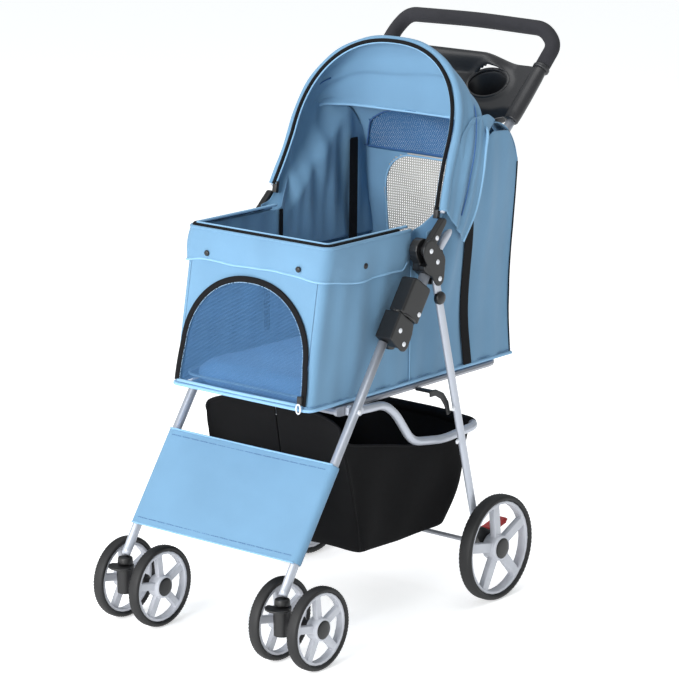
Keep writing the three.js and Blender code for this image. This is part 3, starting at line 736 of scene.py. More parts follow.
class STROLLER_OT_wheels(StrollerPiece):
    """Front caster wheels and rear wheels"""
    bl_idname = "stroller.wheels"
    bl_label = "Wheels"

    def build(self):
        for side, sign in SIDES:
            for where, outward in (("outer", sign), ("inner", -sign)):
                wheel(f"front_wheel_{side}_{where}", outward, *FRONT_WHEEL)
            wheel(f"rear_wheel_{side}", sign, *REAR_WHEEL)


# ---- Undercarriage ---------------------------------------------------------------------------
def basket_tube_path():
    """The basket tube, from its left front end round the rear."""
    side = [(158, -92, 397), (158, -17, 393), (158, 14, 372), (158, 62, 312), (158, 150, 299)]
    rear = [(158, 250, 306), (60, 262, 308)]
    return bent([*side, *rear, *reversed(mirrored(rear, -1)), *reversed(mirrored(side, -1))], 24)


class STROLLER_OT_undercarriage(StrollerPiece):
    """Basket tube with its lugs, the axle, the seat frame and the floor board"""
    bl_idname = "stroller.undercarriage"
    bl_label = "Undercarriage"

    def build(self):
        grey = finish("grey paint")
        on_body(tube("basket_tube", basket_tube_path(), 7.5, finish("silver paint")), "basket_frame",
                "basket_frame")
        lug = [(-122, 397), (-116, 393), (-90, 389), (-81, 393), (-81, 402), (-92, 405), (-114, 412),
               (-122, 409)]
        for side, sign in SIDES:
            x0, x1 = sorted((159.2 * sign, 166.2 * sign))
            on_body(plate(f"basket_lug_{side}", lug, x0, x1, finish("silver paint")), "basket_frame")
        for node in ("axle_rod", "seat_frame"):
            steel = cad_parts[node]
            steel.data.materials.clear()
            steel.data.materials.append(grey)
            steel.data.polygons.foreach_set("use_smooth", [True] * len(steel.data.polygons))
        rows = [[(-147 + 294 * i / 24, -200 + 543 * k / 40, FLOOR_Z - 1.6) for i in range(25)]
                for k in range(41)]
        on_body(cloth("floor_board", rows, finish("quilted denim"), 2.6), "seat_frame", "cabin_floor")


class STROLLER_OT_leg_panel(StrollerPiece):
    """Cloth between the front legs, sewn round both tubes"""
    bl_idname = "stroller.leg_panel"
    bl_label = "Leg Panel"

    def build(self):
        low, high, wrap = -417, -241, sizes().tube_radius * 1000 + 2.2
        rows = []
        for j in range(25):
            s = low + (high - low) * j / 24
            loose = 0.5 + 0.5 * sin(0.9 * j)
            row = [(-TUBE_X - wrap * sin(a), *on_leg(s, wrap * cos(a))[1:]) for a in
                   [pi * k / 8 for k in range(9)]]
            for k in range(1, 48):
                t = k / 48
                slack = 2.6 * sin(pi * t) + 0.7 * sin(11 * t + 0.3 * j) * sin(pi * t) * loose
                row.append((-TUBE_X + 2 * TUBE_X * t, *on_leg(s, -wrap + slack)[1:]))
            rows.append(row + list(reversed(mirrored(row[:9], -1))))
        panel = cloth("leg_panel_cloth", rows, finish("light blue cloth"))
        on_body(panel, "front_frame", "leg_panel")
        extras = []
        for s in (low + 11, high - 11):
            line = [(x, *on_leg(s, -wrap + 2.6 * sin(pi * (x + TUBE_X) / (2 * TUBE_X)) - 1.1)[1:])
                    for x in range(-170, 171, 10)]
            extras.append(stitches(f"leg_panel_stitches_{s:.0f}", line, finish("dark blue thread")))
        for s in (low, high):
            edge = [(x, *on_leg(s, -wrap + 2.6 * sin(pi * (x + TUBE_X) / (2 * TUBE_X)))[1:])
                    for x in range(-180, 181, 10)]
            extras.append(tube(f"leg_panel_hem_{s:.0f}", edge, 1.5, finish("pale blue edging"), 12))
        for e in extras:
            on_body(e, "front_frame")


# ---- Cabin -----------------------------------------------------------------------------------
def front_y(z):
    """How far forward the leaning front wall stands at a height."""
    return FRONT_Y + FRONT_LEAN * (z - FLOOR_Z)


def rear_y(z):
    """How far back the leaning rear wall stands at a height."""
    return REAR_Y - REAR_LEAN * (z - FLOOR_Z)


def half_width(y, z):
    """The cabin widens over the handle tubes towards its rear top."""
    reach = max(620, HANDLE_START[1] + HANDLE_SLOPE * (y - HANDLE_START[0]))
    return CABIN_HALF + 34 * blend_in(z, 470, reach) * blend_in(y, 70, 150)


def around(distance, z, out=0.0):
    """A point on the cabin's outside, by the distance round it from the middle of the front."""
    d, sign = abs(distance), 1 if distance >= 0 else -1
    flat, arc, y0 = FRONT_FLAT, CORNER_TURN, front_y(z)
    if d < flat:
        return (sign * d, y0 - out, z)
    if d < flat + arc:
        a = (d - flat) / CORNER
        return (sign * (flat + (CORNER + out) * sin(a)), y0 + CORNER - (CORNER + out) * cos(a), z)
    y = y0 + CORNER + d - flat - arc
    return (sign * (half_width(y, z) + out), y, z)


def rim_height(y):
    """The side wall's top edge."""
    return through([(-160, RIM_Z), (50, RIM_Z - 3), (70, 684), (246, 832), (288, 828), (324, 770)], y)


def side_wall(sign):
    """Rows of the side wall from the floor up to its rim, with soft folds."""
    rows = []
    start, far = FRONT_FLAT, CABIN_REACH
    for j in range(41):
        v = j / 40
        row = []
        for k in range(73):
            d = start + (far - start) * k / 72
            y_low = around(d, FLOOR_Z)[1]
            top = rim_height(y_low - 30 * blend_in(y_low, 200, 352) + 45 * (1 - blend_in(y_low, -190, -60)))
            z = FLOOR_Z + v * (top - FLOOR_Z)
            share = (d - start) / (far - start)
            limit = (far - start) - (front_y(z) - FRONT_Y) - (REAR_Y - rear_y(z))
            fold = 2.2 * sin(0.05 * y_low + 2.2 * v) * sin(pi * v) + 1.4 * sin(0.11 * y_low - 1.4 * v)
            fold -= 2.6 * exp(-((y_low - 60) / 9) ** 2)
            fold *= blend_in(share, 0.02, 0.12)
            row.append(around(sign * (start + share * limit), z, fold))
        rows.append(row)
    return rows


LINING_TOP = [(62, 682), (84, 686), (104, 706), (135, 776), (160, 834), (190, 860), (235, 862), (262, 846),
              (290, 822), (318, 786), (340, 768)]


def lining(sign):
    """Inside cloth that hides the handle tube and rises to the hood."""
    rows = []
    for j in range(33):
        v = j / 32
        row = []
        for k in range(61):
            y = 62 + 276 * k / 60
            top = through(LINING_TOP, y)
            z = 600 + v * (top - 600)
            over = z - (HANDLE_START[1] + HANDLE_SLOPE * (y - HANDLE_START[0]))
            x = CABIN_HALF - 2.5 + 7 * blend_in(z, 600, 680) + 27 * blend_in(over, 14, 64)
            pleat = (3.4 * sin(0.085 * y + 0.016 * z) + 1.8 * sin(0.19 * y - 0.02 * z)) * sin(pi * v) ** 0.7
            row.append((sign * min(x + pleat * blend_in(y, 80, 130), 187), y - 0.02 * (z - 600), z))
        rows.append(row)
    return rows


def seam_on_side(sign, y, z0, z1, out, count=24):
    """Points up the side wall at the given y."""
    return [(sign * (half_width(y, z) + out), y, z) for z in
            [z0 + (z1 - z0) * k / count for k in range(count + 1)]]


def ribbon(name, line, wide, material, thickness=1.2):
    """A flat tape along a line of points, wide in the direction given."""
    w = Vector(wide) / 2
    rows = [[tuple(Vector(p) - w * k) for k in (1, 0.5, 0, -0.5, -1)] for p in line]
    return cloth(name, rows, material, thickness)


DOOR_TOP, DOOR_FOOT, DOOR_HALF = 611, 424, 137


def door_edge(t):
    """The door's arch from its right foot (t 0) over the top to its left foot (t 1): (x, z)."""
    rise, s = 1 - abs(2 * t - 1), 1 if t > 0.5 else -1
    if rise < 0.3:
        k = rise / 0.3
        return s * (DOOR_HALF + 2 - 5 * k * k), DOOR_FOOT + 66 * k
    a = (rise - 0.3) / 0.7 * pi / 2
    return s * (DOOR_HALF - 3) * cos(a) ** 0.92, 490 + (DOOR_TOP - 490) * sin(a) ** 1.02


def in_door(x, y, z, margin=0.0):
    """Whether a point of the front wall is in the door's opening, margin inside its edge."""
    if z < DOOR_FOOT + margin or z > DOOR_TOP:
        return False
    if z < 490:
        return abs(x) < DOOR_HALF - 1 - margin
    up = min(1, ((z - 490) / (DOOR_TOP - 490)) ** (1 / 1.02))
    return abs(x) < (DOOR_HALF - 3) * (1 - up * up) ** 0.46 - margin


def front_rows(out=0.0, top=RIM_Z, soft=1.0):
    """Rows of the front wall, soft setting how much it waves."""
    edge = FRONT_FLAT
    rows = []
    for j in range(64):
        z = FLOOR_Z + (top - FLOOR_Z) * j / 63
        row = []
        for k in range(65):
            x = -edge + 2 * edge * k / 64
            wave = soft * (1.6 * sin(0.035 * x + 0.02 * z) + 0.8 * sin(0.09 * x)) * (1 - (x / edge) ** 2)
            row.append((x, front_y(z) - out - wave, z))
        rows.append(row)
    return rows


class STROLLER_OT_cabin(StrollerPiece):
    """Cabin side and front walls with their seams, tapes and bottom piping"""
    bl_idname = "stroller.cabin"
    bl_label = "Cabin Walls"

    def build(self):
        blue, pale, black = (finish(n) for n in ("light blue cloth", "pale blue edging", "black webbing"))
        thick = sizes().cloth * 1000
        for side, sign in SIDES:
            wall = cloth(f"side_wall_{side}", side_wall(sign), blue, thick)
            on_cabin(wall, f"cabin_side_{side}")
            inside = cloth(f"side_lining_{side}", lining(sign), blue, 1.2)
            on_cabin(inside)
            slant = [(sign * (half_width(223 - 0.17 * (z - 416), z) + 2.6), 223 - 0.17 * (z - 416), z)
                     for z in range(416, 690, 10)]
            extras = [
                ribbon(f"side_tape_{side}", slant, (0, 24, 0), black),
                tube(f"side_seam_{side}", seam_on_side(sign, 60, 418, 618, 0.6), 1.0, pale, 8),
                tube(f"rear_corner_seam_{side}", [(sign * (half_width(rear_y(z), z) + 1.2), rear_y(z) - 4, z)
                                                  for z in range(420, 770, 12)], 1.3, black, 8),
                ribbon(f"inner_front_tape_{side}", [(sign * (CABIN_HALF - 7), 70, z)
                                                    for z in range(600, 679, 6)], (0, 11, 0), black),
                ribbon(f"inner_rear_tape_{side}", [(sign * (CABIN_HALF - 9), 268, z)
                                                   for z in range(500, 790, 10)], (0, 24, 0), black),
                ribbon(f"inner_strap_{side}", [(sign * (CABIN_HALF - 6), 34, z)
                                               for z in range(466, 580, 8)], (0, 16, 0), black),
            ]
            for e in extras:
                on_cabin(e)
        front = cloth("front_wall", front_rows(), blue, thick, keep=lambda x, y, z: not in_door(x, y, z))
        on_cabin(front, "cabin_front")
        reach = CABIN_REACH
        edge = [around(-reach + 2 * reach * k / 240, FLOOR_Z + 3, 1.5) for k in range(241)]
        on_cabin(tube("bottom_piping", edge, sizes().piping * 1000 + 0.6, pale, 12))
        hem = [around(-reach + 2 * reach * k / 240, FLOOR_Z + 9, 1.4) for k in range(241)]
        on_cabin(stitches("bottom_stitches", hem, finish("dark blue thread"), 4.5, 0.4))


class STROLLER_OT_door(StrollerPiece):
    """Netting door with its zip tape, teeth line and slider"""
    bl_idname = "stroller.door"
    bl_label = "Door"

    def build(self):
        net = cloth("door_netting", front_rows(0.6, RIM_Z, 0.6), finish("door netting"), 0.5,
                    keep=lambda x, y, z: in_door(x, y, z, -3), subdivide=False)
        on_cabin(net, "door_mesh")
        wide = sizes().zip_width * 1000 / 2
        arch = [door_edge(k / 96) for k in range(97)]
        line = [(x, front_y(z) - 3.2 - 1.6 * (1 - (x / 140) ** 2), z) for x, z in arch]
        tape = tube("door_zip_tape", line, wide, finish("black webbing"), 16)
        squeeze_to_wall(tape, 0.34)
        teeth = [(x * 0.955, front_y(z) - 4.0 - 1.6 * (1 - (x / 140) ** 2), 0.972 * (z - 424) + 424)
                 for x, z in arch]
        row = stitches("door_zip_teeth", teeth, finish("pale thread"), 3.2, 0.75)
        foot = [(-DOOR_HALF - 1, front_y(424) - 3, 424), (DOOR_HALF + 1, front_y(424) - 3, 424)]
        sill = tube("door_sill", bent([foot[0], (0, front_y(424) - 4.4, 423), foot[1]], 60), 2.6,
                    finish("pale blue edging"), 12)
        slide = plate("door_zip_slider", [(-212, 426), (-214, 427), (-214, 440), (-212, 441), (-206, 440),
                                          (-206, 427)], DOOR_HALF - 6, DOOR_HALF + 3, finish("black plastic"))
        pull = [(DOOR_HALF - 2 + 4.5 * sin(a), -214.5, 420 + 8 * cos(a)) for a in
                [2 * pi * k / 20 for k in range(21)]]
        ring = tube("door_zip_pull", pull, 1.4, finish("bright steel"), 10)
        for e in (tape, row, sill, slide, ring):
            on_cabin(e)


def squeeze_to_wall(piece, keep):
    """Flattens a round edging onto the leaning front wall."""
    for v in piece.data.vertices:
        z = v.co.z * 1000
        wall = (front_y(z) - 3.6) / 1000 + MIDDLE
        v.co.y = wall + (v.co.y - wall) * keep


class STROLLER_OT_collar(StrollerPiece):
    """Turned-down collar round the front rim, with its zip line and snap buttons"""
    bl_idname = "stroller.collar"
    bl_label = "Collar"

    def build(self):
        pale, blue = finish("pale blue edging"), finish("light blue cloth")
        flat = FRONT_FLAT + CORNER_TURN
        reach = flat + 48 - front_y(640) - CORNER

        def hem_z(d):
            side = blend_in(abs(d), 90, flat + 70)
            turn_up = 14 * blend_in(abs(d), reach - 18, reach) ** 2
            return 631 - 15 * side + turn_up + 1.5 * sin(d * 0.045)

        rows = []
        for j in range(15):
            v = j / 14
            row = []
            for k in range(145):
                d = -reach + 2 * reach * k / 144
                z = RIM_Z + 1 + v * (hem_z(d) - RIM_Z - 1)
                wave = 1.8 * sin(d * 0.062) + 1.2 * sin(d * 0.11)
                belly = 3.6 + 3.2 * sin(pi * min(1, 1.1 * v)) + v * wave
                row.append(around(d, z, belly))
            rows.append(row)
        flap = cloth("collar_flap", rows, blue, 1.8)
        zip_reach = flat + 27 - front_y(RIM_Z) - CORNER
        count = 160
        zip_line = [around(-zip_reach + 2 * zip_reach * k / count, RIM_Z + 4.5, -2) for k in range(count + 1)]
        lip = [around(-reach + 2 * reach * k / count, RIM_Z + 1.2, 3) for k in range(count + 1)]
        hem = [around(d, hem_z(d), 3.8 + 1.8 * sin(d * 0.062) + 1.2 * sin(d * 0.11)) for d in
               [-reach + 2 * reach * k / count for k in range(count + 1)]]
        extras = [
            tube("collar_zip", zip_line, 3.2, finish("black webbing"), 12),
            tube("collar_lip", lip, 3.0, blue, 12),
            tube("collar_hem", hem, 1.9, pale, 12),
            tube("collar_inner_lip", [around(-reach + 2 * reach * k / count, RIM_Z + 6.5, -7)
                                      for k in range(count + 1)], 2.6, pale, 12),
        ]
        buttons = []
        for sign in (1, -1):
            for d, z in ((100, 643), (flat + 82, 641), (flat + 208, 636)):
                x, y, zz = around(sign * d, z, 8.2)
                near = around(sign * d, z, 0)
                out = Vector((x - near[0], y - near[1], 0)).normalized()
                buttons.append(dome(f"b{len(buttons)}", (x, y, zz), out, 5.2, 3.0, finish("black plastic")))
        extras.append(joined("collar_buttons", buttons))
        on_cabin(flap)
        for e in extras:
            on_cabin(e)


def in_window(x, y, z, grow=0.0):
    """Whether a point of the rear wall is in the window, which is round at its top corners."""
    half, top, foot, r = 113 + grow, 750 + grow, 505 - grow, 60
    if not foot < z < top or abs(x) > half:
        return False
    cx, cz = half - r, top - r
    if abs(x) > cx and z > cz:
        return (abs(x) - cx) ** 2 + (z - cz) ** 2 < r * r
    return True


def in_roof_net(x, y, z, grow=0.0):
    """Whether a point is in the netting over the rear seam."""
    limit = through([(757, 150), (808, 126), (831, 80), (843, 24), (846, 0)], z)
    return z > REAR_SEAM_Z + 3 - grow and abs(x) < limit + grow


def rear_rows(out=0.0):
    """Rows up the rear wall, then forward over the roof."""
    rows = []
    for j in range(88):
        v = j / 87
        if v < 0.8:
            z = FLOOR_Z + (REAR_SEAM_Z - FLOOR_Z) * v / 0.8
            y = rear_y(z) - 1.5
        else:
            t = (v - 0.8) / 0.2
            z = REAR_SEAM_Z + 88 * sin(t * pi / 2) ** 1.05
            y = rear_y(REAR_SEAM_Z) - 1.5 - 74 * (0.45 * t + 0.55 * t * t)
        half = half_width(min(y, 330), z) + 0.8
        rows.append([(-half + 2 * half * k / 64, y - out + 1.2 * sin(0.05 * z + k * 0.3), z)
                     for k in range(65)])
    return rows


class STROLLER_OT_rear(StrollerPiece):
    """Rear wall and roof with their netting windows"""
    bl_idname = "stroller.rear"
    bl_label = "Rear Wall"

    def build(self):
        blue = finish("light blue cloth")
        wall = cloth("rear_wall", rear_rows(), blue, sizes().cloth * 1000,
                     keep=lambda x, y, z: not in_window(x, y, z) and not in_roof_net(x, y, z))
        window = cloth("rear_window_netting", rear_rows(0.8), finish("window netting"), 0.6,
                       keep=lambda x, y, z: in_window(x, y, z, 2), subdivide=False)
        roof = cloth("roof_netting", rear_rows(1.2), finish("roof netting"), 0.6,
                     keep=lambda x, y, z: in_roof_net(x, y, z, 5), subdivide=False)
        on_cabin(wall, "cabin_rear")
        on_cabin(window)
        on_cabin(roof)
        outline = [(113, 505), (113, 690), *[(53 + 60 * cos(a), 690 + 60 * sin(a)) for a in
                                             [pi / 2 * k / 10 for k in range(11)]]]
        outline = outline + [(-x, z) for x, z in reversed(outline)] + [(113, 505)]
        rim = tube("window_edge", [(x, rear_y(z) - 4, z) for x, z in outline], 1.8,
                   finish("pale blue edging"), 10)
        seam_half = half_width(rear_y(REAR_SEAM_Z), REAR_SEAM_Z) - 3
        seam = tube("rear_roof_seam", [(-seam_half + 2 * seam_half * k / 20, rear_y(REAR_SEAM_Z) - 4.5,
                                        REAR_SEAM_Z + 1) for k in range(21)], 1.2,
                    finish("dark blue thread"), 8)
        arch = [(150, 759), (140, 785), (126, 808), (104, 822), (78, 832), (24, 843)]
        arch = arch + [(-x, z) for x, z in reversed(arch)]
        row_of = {round(r[0][2]): r[32][1] for r in rear_rows(3)}
        heights = sorted(row_of)
        depth = lambda z: row_of[min(heights, key=lambda h: abs(h - z))]
        roof_edge = tube("roof_net_edge", smooth_curve([(x, depth(z) - 2, z) for x, z in arch], 5), 1.4,
                         finish("dark blue thread"), 8)
        extras = [rim, seam, roof_edge]
        for e in extras:
            on_cabin(e)


# ---- Hood ------------------------------------------------------------------------------------
HOOP_HALF, HOOP_HEIGHT, HOOP_LEAN = 176, 333, radians(22.5)
HOOP_FOOT, HOOP_START, HOOP_FLARE = (79, 665), 48, 12
HOOD_REAR = [(192, 152, 653), (194, 183, 701), (195, 199, 751), (194, 209, 800), (188, 220, 836),
             (152, 240, 842), (90, 248, 843), (0, 251, 843)]


def hoop(w, back=0.0, spread=0.0, lift=0.0):
    """A point on the hood's hoop, from its left foot (w 0) to its right foot (w 1)."""
    radius, shoulder = HOOP_HALF + spread, HOOP_HEIGHT - HOOP_HALF
    straight = shoulder - HOOP_START
    d = min(w, 1 - w) * (pi * radius + 2 * straight)
    if d < straight:
        x, k = radius + HOOP_FLARE * (1 - d / straight) ** 1.5, HOOP_START + d
    else:
        a = min(pi / 2, (d - straight) / radius)
        x, k = radius * cos(a) ** 0.88, shoulder + (HOOP_HALF + lift) * sin(a) ** 0.88
    sign = 1 if w < 0.5 else -1
    return (sign * x, HOOP_FOOT[0] + k * sin(HOOP_LEAN) + back, HOOP_FOOT[1] + k * cos(HOOP_LEAN))


def hood_rear(w):
    """A point on the hood's rear edge, from its left end to its right."""
    line = smooth_curve(HOOD_REAR, 12)
    at = min(w, 1 - w) * 2 * (len(line) - 1)
    i = min(int(at), len(line) - 2)
    x, y, z = Vector(line[i]).lerp(Vector(line[i + 1]), at - i)
    return (x if w < 0.5 else -x, y, z)


def hood_rows():
    """Rows from the hoop back to the rear edge, with pleats at the sides and sags on top."""
    rows = []
    for j in range(97):
        w = j / 96
        a, b = Vector(hoop(w, 5, 5, 3)), Vector(hood_rear(w))
        top = sin(pi * w)
        row = []
        for k in range(29):
            u = k / 28
            p = a.lerp(b, u)
            swell = sin(pi * u)
            p.z += (13 * top ** 2 - 4) * swell * 0.8
            p.y += 16 * top ** 2 * swell
            p.x += (1 if w < 0.5 else -1) * (1 - top) * 5 * swell
            pleat = 3.4 * sin(20 * u + 2.5 * top) * swell * (1 - top ** 3)
            p.x += (1 if w < 0.5 else -1) * pleat * 0.6
            sag = 11 * exp(-((u - 0.42 - 0.25 * (w - 0.5)) / 0.10) ** 2) * top ** 4
            sag += 20 * exp(-((u - 0.8 + 0.3 * (w - 0.45)) / 0.13) ** 2) * top ** 2 * (1.25 - 0.8 * w)
            sag += 3 * sin(34 * w + 5 * u) * swell * top ** 2
            p.z -= sag
            row.append(tuple(p))
        rows.append(row)
    return rows


class STROLLER_OT_hood(StrollerPiece):
    """Hood cloth, its hoop and sleeve, its zip line and piped edge"""
    bl_idname = "stroller.hood"
    bl_label = "Hood"

    def build(self):
        blue, pale, black = (finish(n) for n in ("light blue cloth", "pale blue edging", "black webbing"))
        rod = tube("hoop_rod", [hoop(k / 120) for k in range(121)], 4, finish("silver paint"), 16)
        on_body(rod, "canopy", "canopy_hoop")
        sheet = cloth("hood_cloth", hood_rows(), blue, 1.6)
        sleeve = tube("hood_sleeve", [hoop(0.004 + 0.992 * k / 140, 1, 1) for k in range(141)], 7.5, blue, 20,
                      thick=lambda t: 1 + 0.06 * sin(60 * t))
        along = [0.008 + 0.984 * k / 140 for k in range(141)]
        zip_line = tube("hood_zip", [hoop(w, -8, -7, 0) for w in along], 3.4, black, 14)
        inner = tube("hood_zip_edge", [hoop(w, -6, -11, -4) for w in along], 1.6, pale, 10)
        for piece in (sleeve, zip_line, inner):
            on_body(piece, "canopy")
        on_body(sheet, None, "hood")
        edge = tube("hood_piped_edge", [hood_rear(k / 160) for k in range(161)], 2.6, pale, 12)
        on_body(edge, "handle_frame")
        seams = []
        for side, sign in SIDES:
            seam = [tuple(Vector(hoop(w if sign > 0 else 1 - w, 5, 8)).lerp(
                Vector(hood_rear(w if sign > 0 else 1 - w)), 0.55 - 0.25 * w)) for w in
                [0.03 + 0.3 * k / 30 for k in range(31)]]
            proud = mirrored([(abs(x) + 3.5, y, z) for x, y, z in seam], sign)
            seams.append(tube(f"hood_side_seam_{side}", proud, 1.2, finish("dark blue thread"), 8))
            end = hoop(0.004 if sign > 0 else 0.996, -5, -6)
            slider = [(end[1] - 4, end[2] - 12), (end[1] + 4, end[2] - 14), (end[1] + 7, end[2] + 6),
                      (end[1], end[2] + 8)]
            x0, x1 = sorted((end[0] - 8 * sign, end[0] + 1 * sign))
            on_body(plate(f"hood_zip_end_{side}", slider, x0, x1, finish("black plastic")), "canopy")
        foot, away = Vector(place(0, *HOOP_FOOT)), Vector((0, cos(HOOP_LEAN), -sin(HOOP_LEAN)))
        start, end = foot + away * 0.065, foot + away * 0.008
        for piece in (sheet, *seams):
            if piece is not sheet:
                on_body(piece, None)
            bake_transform(piece)


# ---- Basket ----------------------------------------------------------------------------------
def basket_rim():
    """The basket's top edge from the middle of its front, round its left side to the rear middle."""
    return [(0, -114, 387), (90, -114, 385), (140, -118, 372), (149, -120, 356), (150, -98, 338),
            (151, -50, 327), (151, 15, 314), (151, 68, 303), (151, 150, 297), (150, 232, 301),
            (120, 250, 304), (60, 254, 305), (0, 255, 305)]


def basket_floor():
    """The basket's bottom edge, point for point below its rim."""
    return [(0, -60, 140), (90, -60, 140), (136, -58, 140), (144, -50, 140), (145, -40, 140), (145, -10, 139),
            (145, 30, 139), (145, 70, 139), (145, 120, 139), (144, 170, 141), (120, 181, 142), (60, 183, 142),
            (0, 183, 142)]


def basket_loop(half):
    """The whole edge from its left half."""
    line = smooth_curve(half, 6)
    return line + [(-x, y, z) for x, y, z in reversed(line[:-1])]


def basket_rows():
    """Rows from the rim down to the bottom edge, then in to the middle of the floor."""
    top, foot = basket_loop(basket_rim()), basket_loop(basket_floor())
    rows = []
    for j in range(29):
        v = j / 28
        row = []
        for i, (a, b) in enumerate(zip(top, foot)):
            p = Vector(a).lerp(Vector(b), v)
            out = Vector((p.x / 150, (p.y - 60) / 170, 0))
            belly = sin(pi * v) ** 0.8
            crease = 2.6 * sin(0.45 * i + 3 * v) + 2.0 * sin(0.21 * i - 5 * v)
            p += out * (3.5 * belly + crease * belly)
            p.z -= 5 * sin(pi * v) * abs(out.y) * 0.5
            row.append(tuple(p))
        rows.append(row)
    for shrink in (0.985, 0.95, 0.85, 0.7, 0.5, 0.3, 0.1, 0.02):
        rows.append([(x * shrink, 61 + (y - 61) * shrink,
                      z - 4 * (1 - shrink) - 1 + 1.2 * sin(0.06 * x + 0.05 * y)) for x, y, z in foot])
    return rows


class STROLLER_OT_basket(StrollerPiece):
    """Sagging cloth basket hung on its tube, with bound edge and corner seams"""
    bl_idname = "stroller.basket"
    bl_label = "Basket"

    def build(self):
        black = finish("black basket cloth")
        rows = basket_rows()
        shell = cloth("basket_cloth", rows, black, 1.8)
        on_body(shell, "basket_frame", "basket")
        rim = tube("basket_bound_edge", rows[0], 2.4, finish("black webbing"), 12)
        sleeve_path = [p for p in basket_tube_path() if p[1] > 150]
        sleeve = tube("basket_tube_sleeve",
                      [(x * 0.985, y - 1, z) for x, y, z in sleeve_path if abs(x) < 150], 10.2, black, 18)
        seams = []
        for side, sign in SIDES:
            column = [min((p for p in row if p[0] * sign > 0), key=lambda p: abs(p[1] + 118 - 62 * j / 28)
                          - 0.2 * abs(p[0])) for j, row in enumerate(rows[:29])]
            seams.append(tube(f"basket_corner_seam_{side}", smooth_curve(column[::4], 3), 1.5,
                              finish("black webbing"), 8))
        pieces = [rim, sleeve, *seams]
        for p in pieces:
            on_body(p, "basket_frame")
        for p in (shell, rim, *seams):
            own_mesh(p)


# ---- Cushion ---------------------------------------------------------------------------------
def cushion_outline(inset=0.0):
    """The cushion's outline, round at its corners, as (x, y) points."""
    x, y0, y1, r = 138 - inset, -190 + inset, 320 - inset, 38
    corners = [(x - r, y0 + r, -pi / 2), (x - r, y1 - r, 0), (-x + r, y1 - r, pi / 2), (-x + r, y0 + r, pi)]
    return [(cx + r * cos(a0 + pi / 2 * k / 8), cy + r * sin(a0 + pi / 2 * k / 8))
            for cx, cy, a0 in corners for k in range(9)]


def fill_with_air(piece, cap):
    """Swells the piece as a stuffed pad, each point moving no further than cap."""
    grain = piece.modifiers.new("even skin", "REMESH")
    grain.mode, grain.voxel_size = "VOXEL", 0.0058
    settle(piece)
    rest = [v.co.copy() for v in piece.data.vertices]
    soft = piece.modifiers.new("stuffing", "CLOTH")
    soft.settings.use_pressure = True
    soft.settings.uniform_pressure_force = 4
    soft.settings.effector_weights.gravity = 0
    soft.settings.quality = 4
    soft.point_cache.frame_start, soft.point_cache.frame_end = 1, 20
    for i in range(1, 21):
        bpy.context.scene.frame_set(i)
    settle(piece)
    bpy.context.scene.frame_set(1)
    for v, home in zip(piece.data.vertices, rest):
        move = v.co - home
        if move.length > cap:
            v.co = home + move * (cap / move.length)
    piece.modifiers.new("soft", "SUBSURF").levels = 1
    return settle(piece)


class STROLLER_OT_cushion(StrollerPiece):
    """Stuffed cushion with a piped edge, lying in the cabin"""
    bl_idname = "stroller.cushion"
    bl_label = "Cushion"

    def build(self):
        denim = finish("quilted denim")
        layers = [(10, 3), (3, 8), (0, 15), (0, 22), (3, 29), (10, 34)]
        loops = [[(x, y, FLOOR_Z + 1 + h) for x, y in cushion_outline(inset)] for inset, h in layers]
        n = len(loops[0])
        corners = [place(*p) for loop in loops for p in loop]
        faces = [(i * n + k, i * n + (k + 1) % n, (i + 1) * n + (k + 1) % n, (i + 1) * n + k)
                 for i in range(len(loops) - 1) for k in range(n)]
        faces += [tuple(range(n)), tuple((len(loops) - 1) * n + k for k in range(n))]
        pad = mesh_piece("cushion_pad", corners, faces, denim)
        fill_with_air(pad, sizes().cushion_swell)
        low = FLOOR_Z + 1
        for v in pad.data.vertices:
            v.co.z = max(v.co.z, low / 1000)
        on_body(pad, "seat_frame", "cushion")
        edge = [(x * 1.016, 65 + (y - 65) * 1.008, FLOOR_Z + 20) for x, y in cushion_outline(-3)]
        piping = tube("cushion_piping", edge + edge[:1], 2.2, finish("pale blue edging"), 10)
        on_body(piping, "seat_frame")
        for p in (pad, piping):
            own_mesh(p)


# ---- Stage -----------------------------------------------------------------------------------
LAMPS = (("key_light", (-2.4, -4.0, 2.4), 2.6, 90), ("fill_light", (0.5, -4.6, 1.6), 2.0, 190),
         ("top_light", (0, 0.6, 4.2), 3.0, 60))


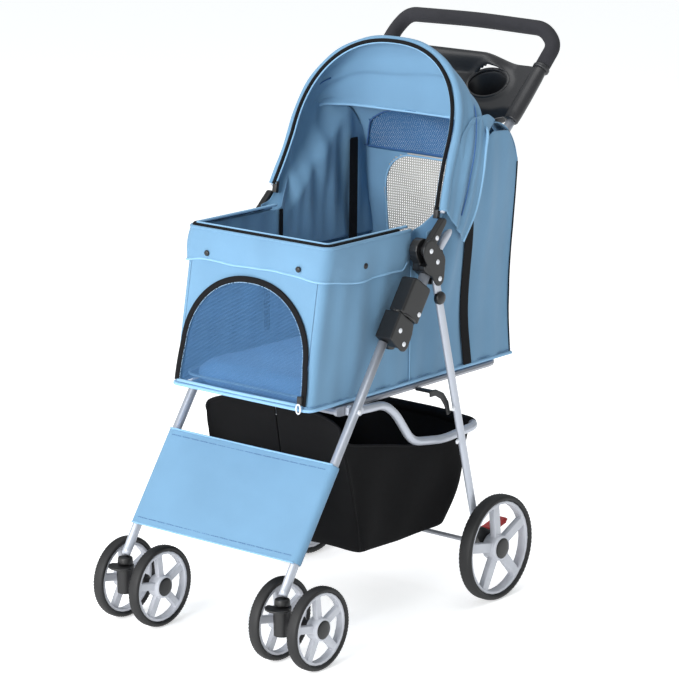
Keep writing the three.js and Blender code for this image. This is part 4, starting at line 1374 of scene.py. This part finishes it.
class STROLLER_OT_stage(StrollerPiece):
    """Pale floor, soft studio light and the camera"""
    bl_idname = "stroller.stage"
    bl_label = "Studio"

    def build(self):
        pale = Finish("studio floor", (0.93, 0.93, 0.93), 0.9)
        pale.bumped(pale.noise(3, 2), 0.1, 0.1)
        pale.shader.inputs["Emission Color"].default_value = (1, 1, 1, 1)
        pale.shader.inputs["Emission Strength"].default_value = 0.5
        n, size, drop = 24, 60.0, -0.0005
        corners = [(-size / 2 + size * i / n, -size / 2 + size * k / n, drop) for k in range(n + 1)
                   for i in range(n + 1)]
        faces = [(k * (n + 1) + i, k * (n + 1) + i + 1, (k + 1) * (n + 1) + i + 1, (k + 1) * (n + 1) + i)
                 for k in range(n) for i in range(n)]
        floor = mesh_piece("studio_floor", corners, faces, pale.material)
        world = bpy.data.worlds.new("studio")
        bpy.context.scene.world = world
        world.use_nodes = True
        sky = world.node_tree.nodes["Background"]
        sky.inputs["Color"].default_value = (0.93, 0.98, 1, 1)
        sky.inputs["Strength"].default_value = 0.5
        aim = Vector((0, 0, 0.45))
        for name, at, size, power in LAMPS:
            lamp = bpy.data.lights.new(name, "AREA")
            lamp.size, lamp.energy = size, power
            holder = bpy.data.objects.new(name, lamp)
            holder.location = at
            holder.rotation_euler = (aim - Vector(at)).to_track_quat("-Z", "Y").to_euler()
            bpy.context.scene.collection.objects.link(holder)
        bpy.context.scene.view_settings.view_transform = "Standard"
        self.camera()

    def camera(self):
        """A long lens from the front left, turned a little about its own line."""
        azimuth, elevation, roll, distance = radians(39.08), radians(13.32), radians(0.535), 5.378
        back = Vector((sin(azimuth) * cos(elevation), -cos(azimuth) * cos(elevation), sin(elevation)))
        right = Vector((cos(azimuth), sin(azimuth), 0))
        up = back.cross(right)
        right, up = right * cos(roll) + up * sin(roll), -right * sin(roll) + up * cos(roll)
        target = Vector((0, 0.0574 + MIDDLE, 0.4681))
        lens = bpy.data.cameras.new("studio camera")
        lens.lens, lens.sensor_width = 164.9, 36
        holder = bpy.data.objects.new("studio camera", lens)
        turn = Matrix((right, up, back)).transposed().to_4x4()
        holder.matrix_world = Matrix.Translation(target + back * distance) @ turn
        bpy.context.scene.collection.objects.link(holder)
        bpy.context.scene.camera = holder


# ---- Add-on ----------------------------------------------------------------------------------
STEPS = (STROLLER_OT_tubes, STROLLER_OT_grip, STROLLER_OT_mouldings, STROLLER_OT_tray, STROLLER_OT_fittings,
         STROLLER_OT_wheels, STROLLER_OT_undercarriage, STROLLER_OT_leg_panel, STROLLER_OT_cabin,
         STROLLER_OT_door, STROLLER_OT_collar, STROLLER_OT_rear, STROLLER_OT_hood, STROLLER_OT_basket,
         STROLLER_OT_cushion, STROLLER_OT_stage)


class STROLLER_PT_build(bpy.types.Panel):
    """Lists the pieces of the stroller"""
    bl_idname = "STROLLER_PT_build"
    bl_label = "Pet Stroller"
    bl_space_type = "VIEW_3D"
    bl_region_type = "UI"
    bl_category = "Stroller"

    def draw(self, context):
        for group in (context.scene.stroller_sizes, context.scene.stroller_colours):
            for key in group.__annotations__:
                self.layout.prop(group, key)
        for step in STEPS:
            self.layout.operator(step.bl_idname)


CLASSES = (StrollerSizes, StrollerColours, *STEPS, STROLLER_PT_build)


def register():
    for item in CLASSES:
        bpy.utils.register_class(item)
    bpy.types.Scene.stroller_sizes = bpy.props.PointerProperty(type=StrollerSizes)
    bpy.types.Scene.stroller_colours = bpy.props.PointerProperty(type=StrollerColours)


def unregister():
    del bpy.types.Scene.stroller_sizes
    del bpy.types.Scene.stroller_colours
    for item in reversed(CLASSES):
        bpy.utils.unregister_class(item)


def main():
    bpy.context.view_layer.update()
    register()
    for step in STEPS:
        group, name = step.bl_idname.split(".")
        getattr(getattr(bpy.ops, group), name)()


if __name__ == "__main__":
    main()
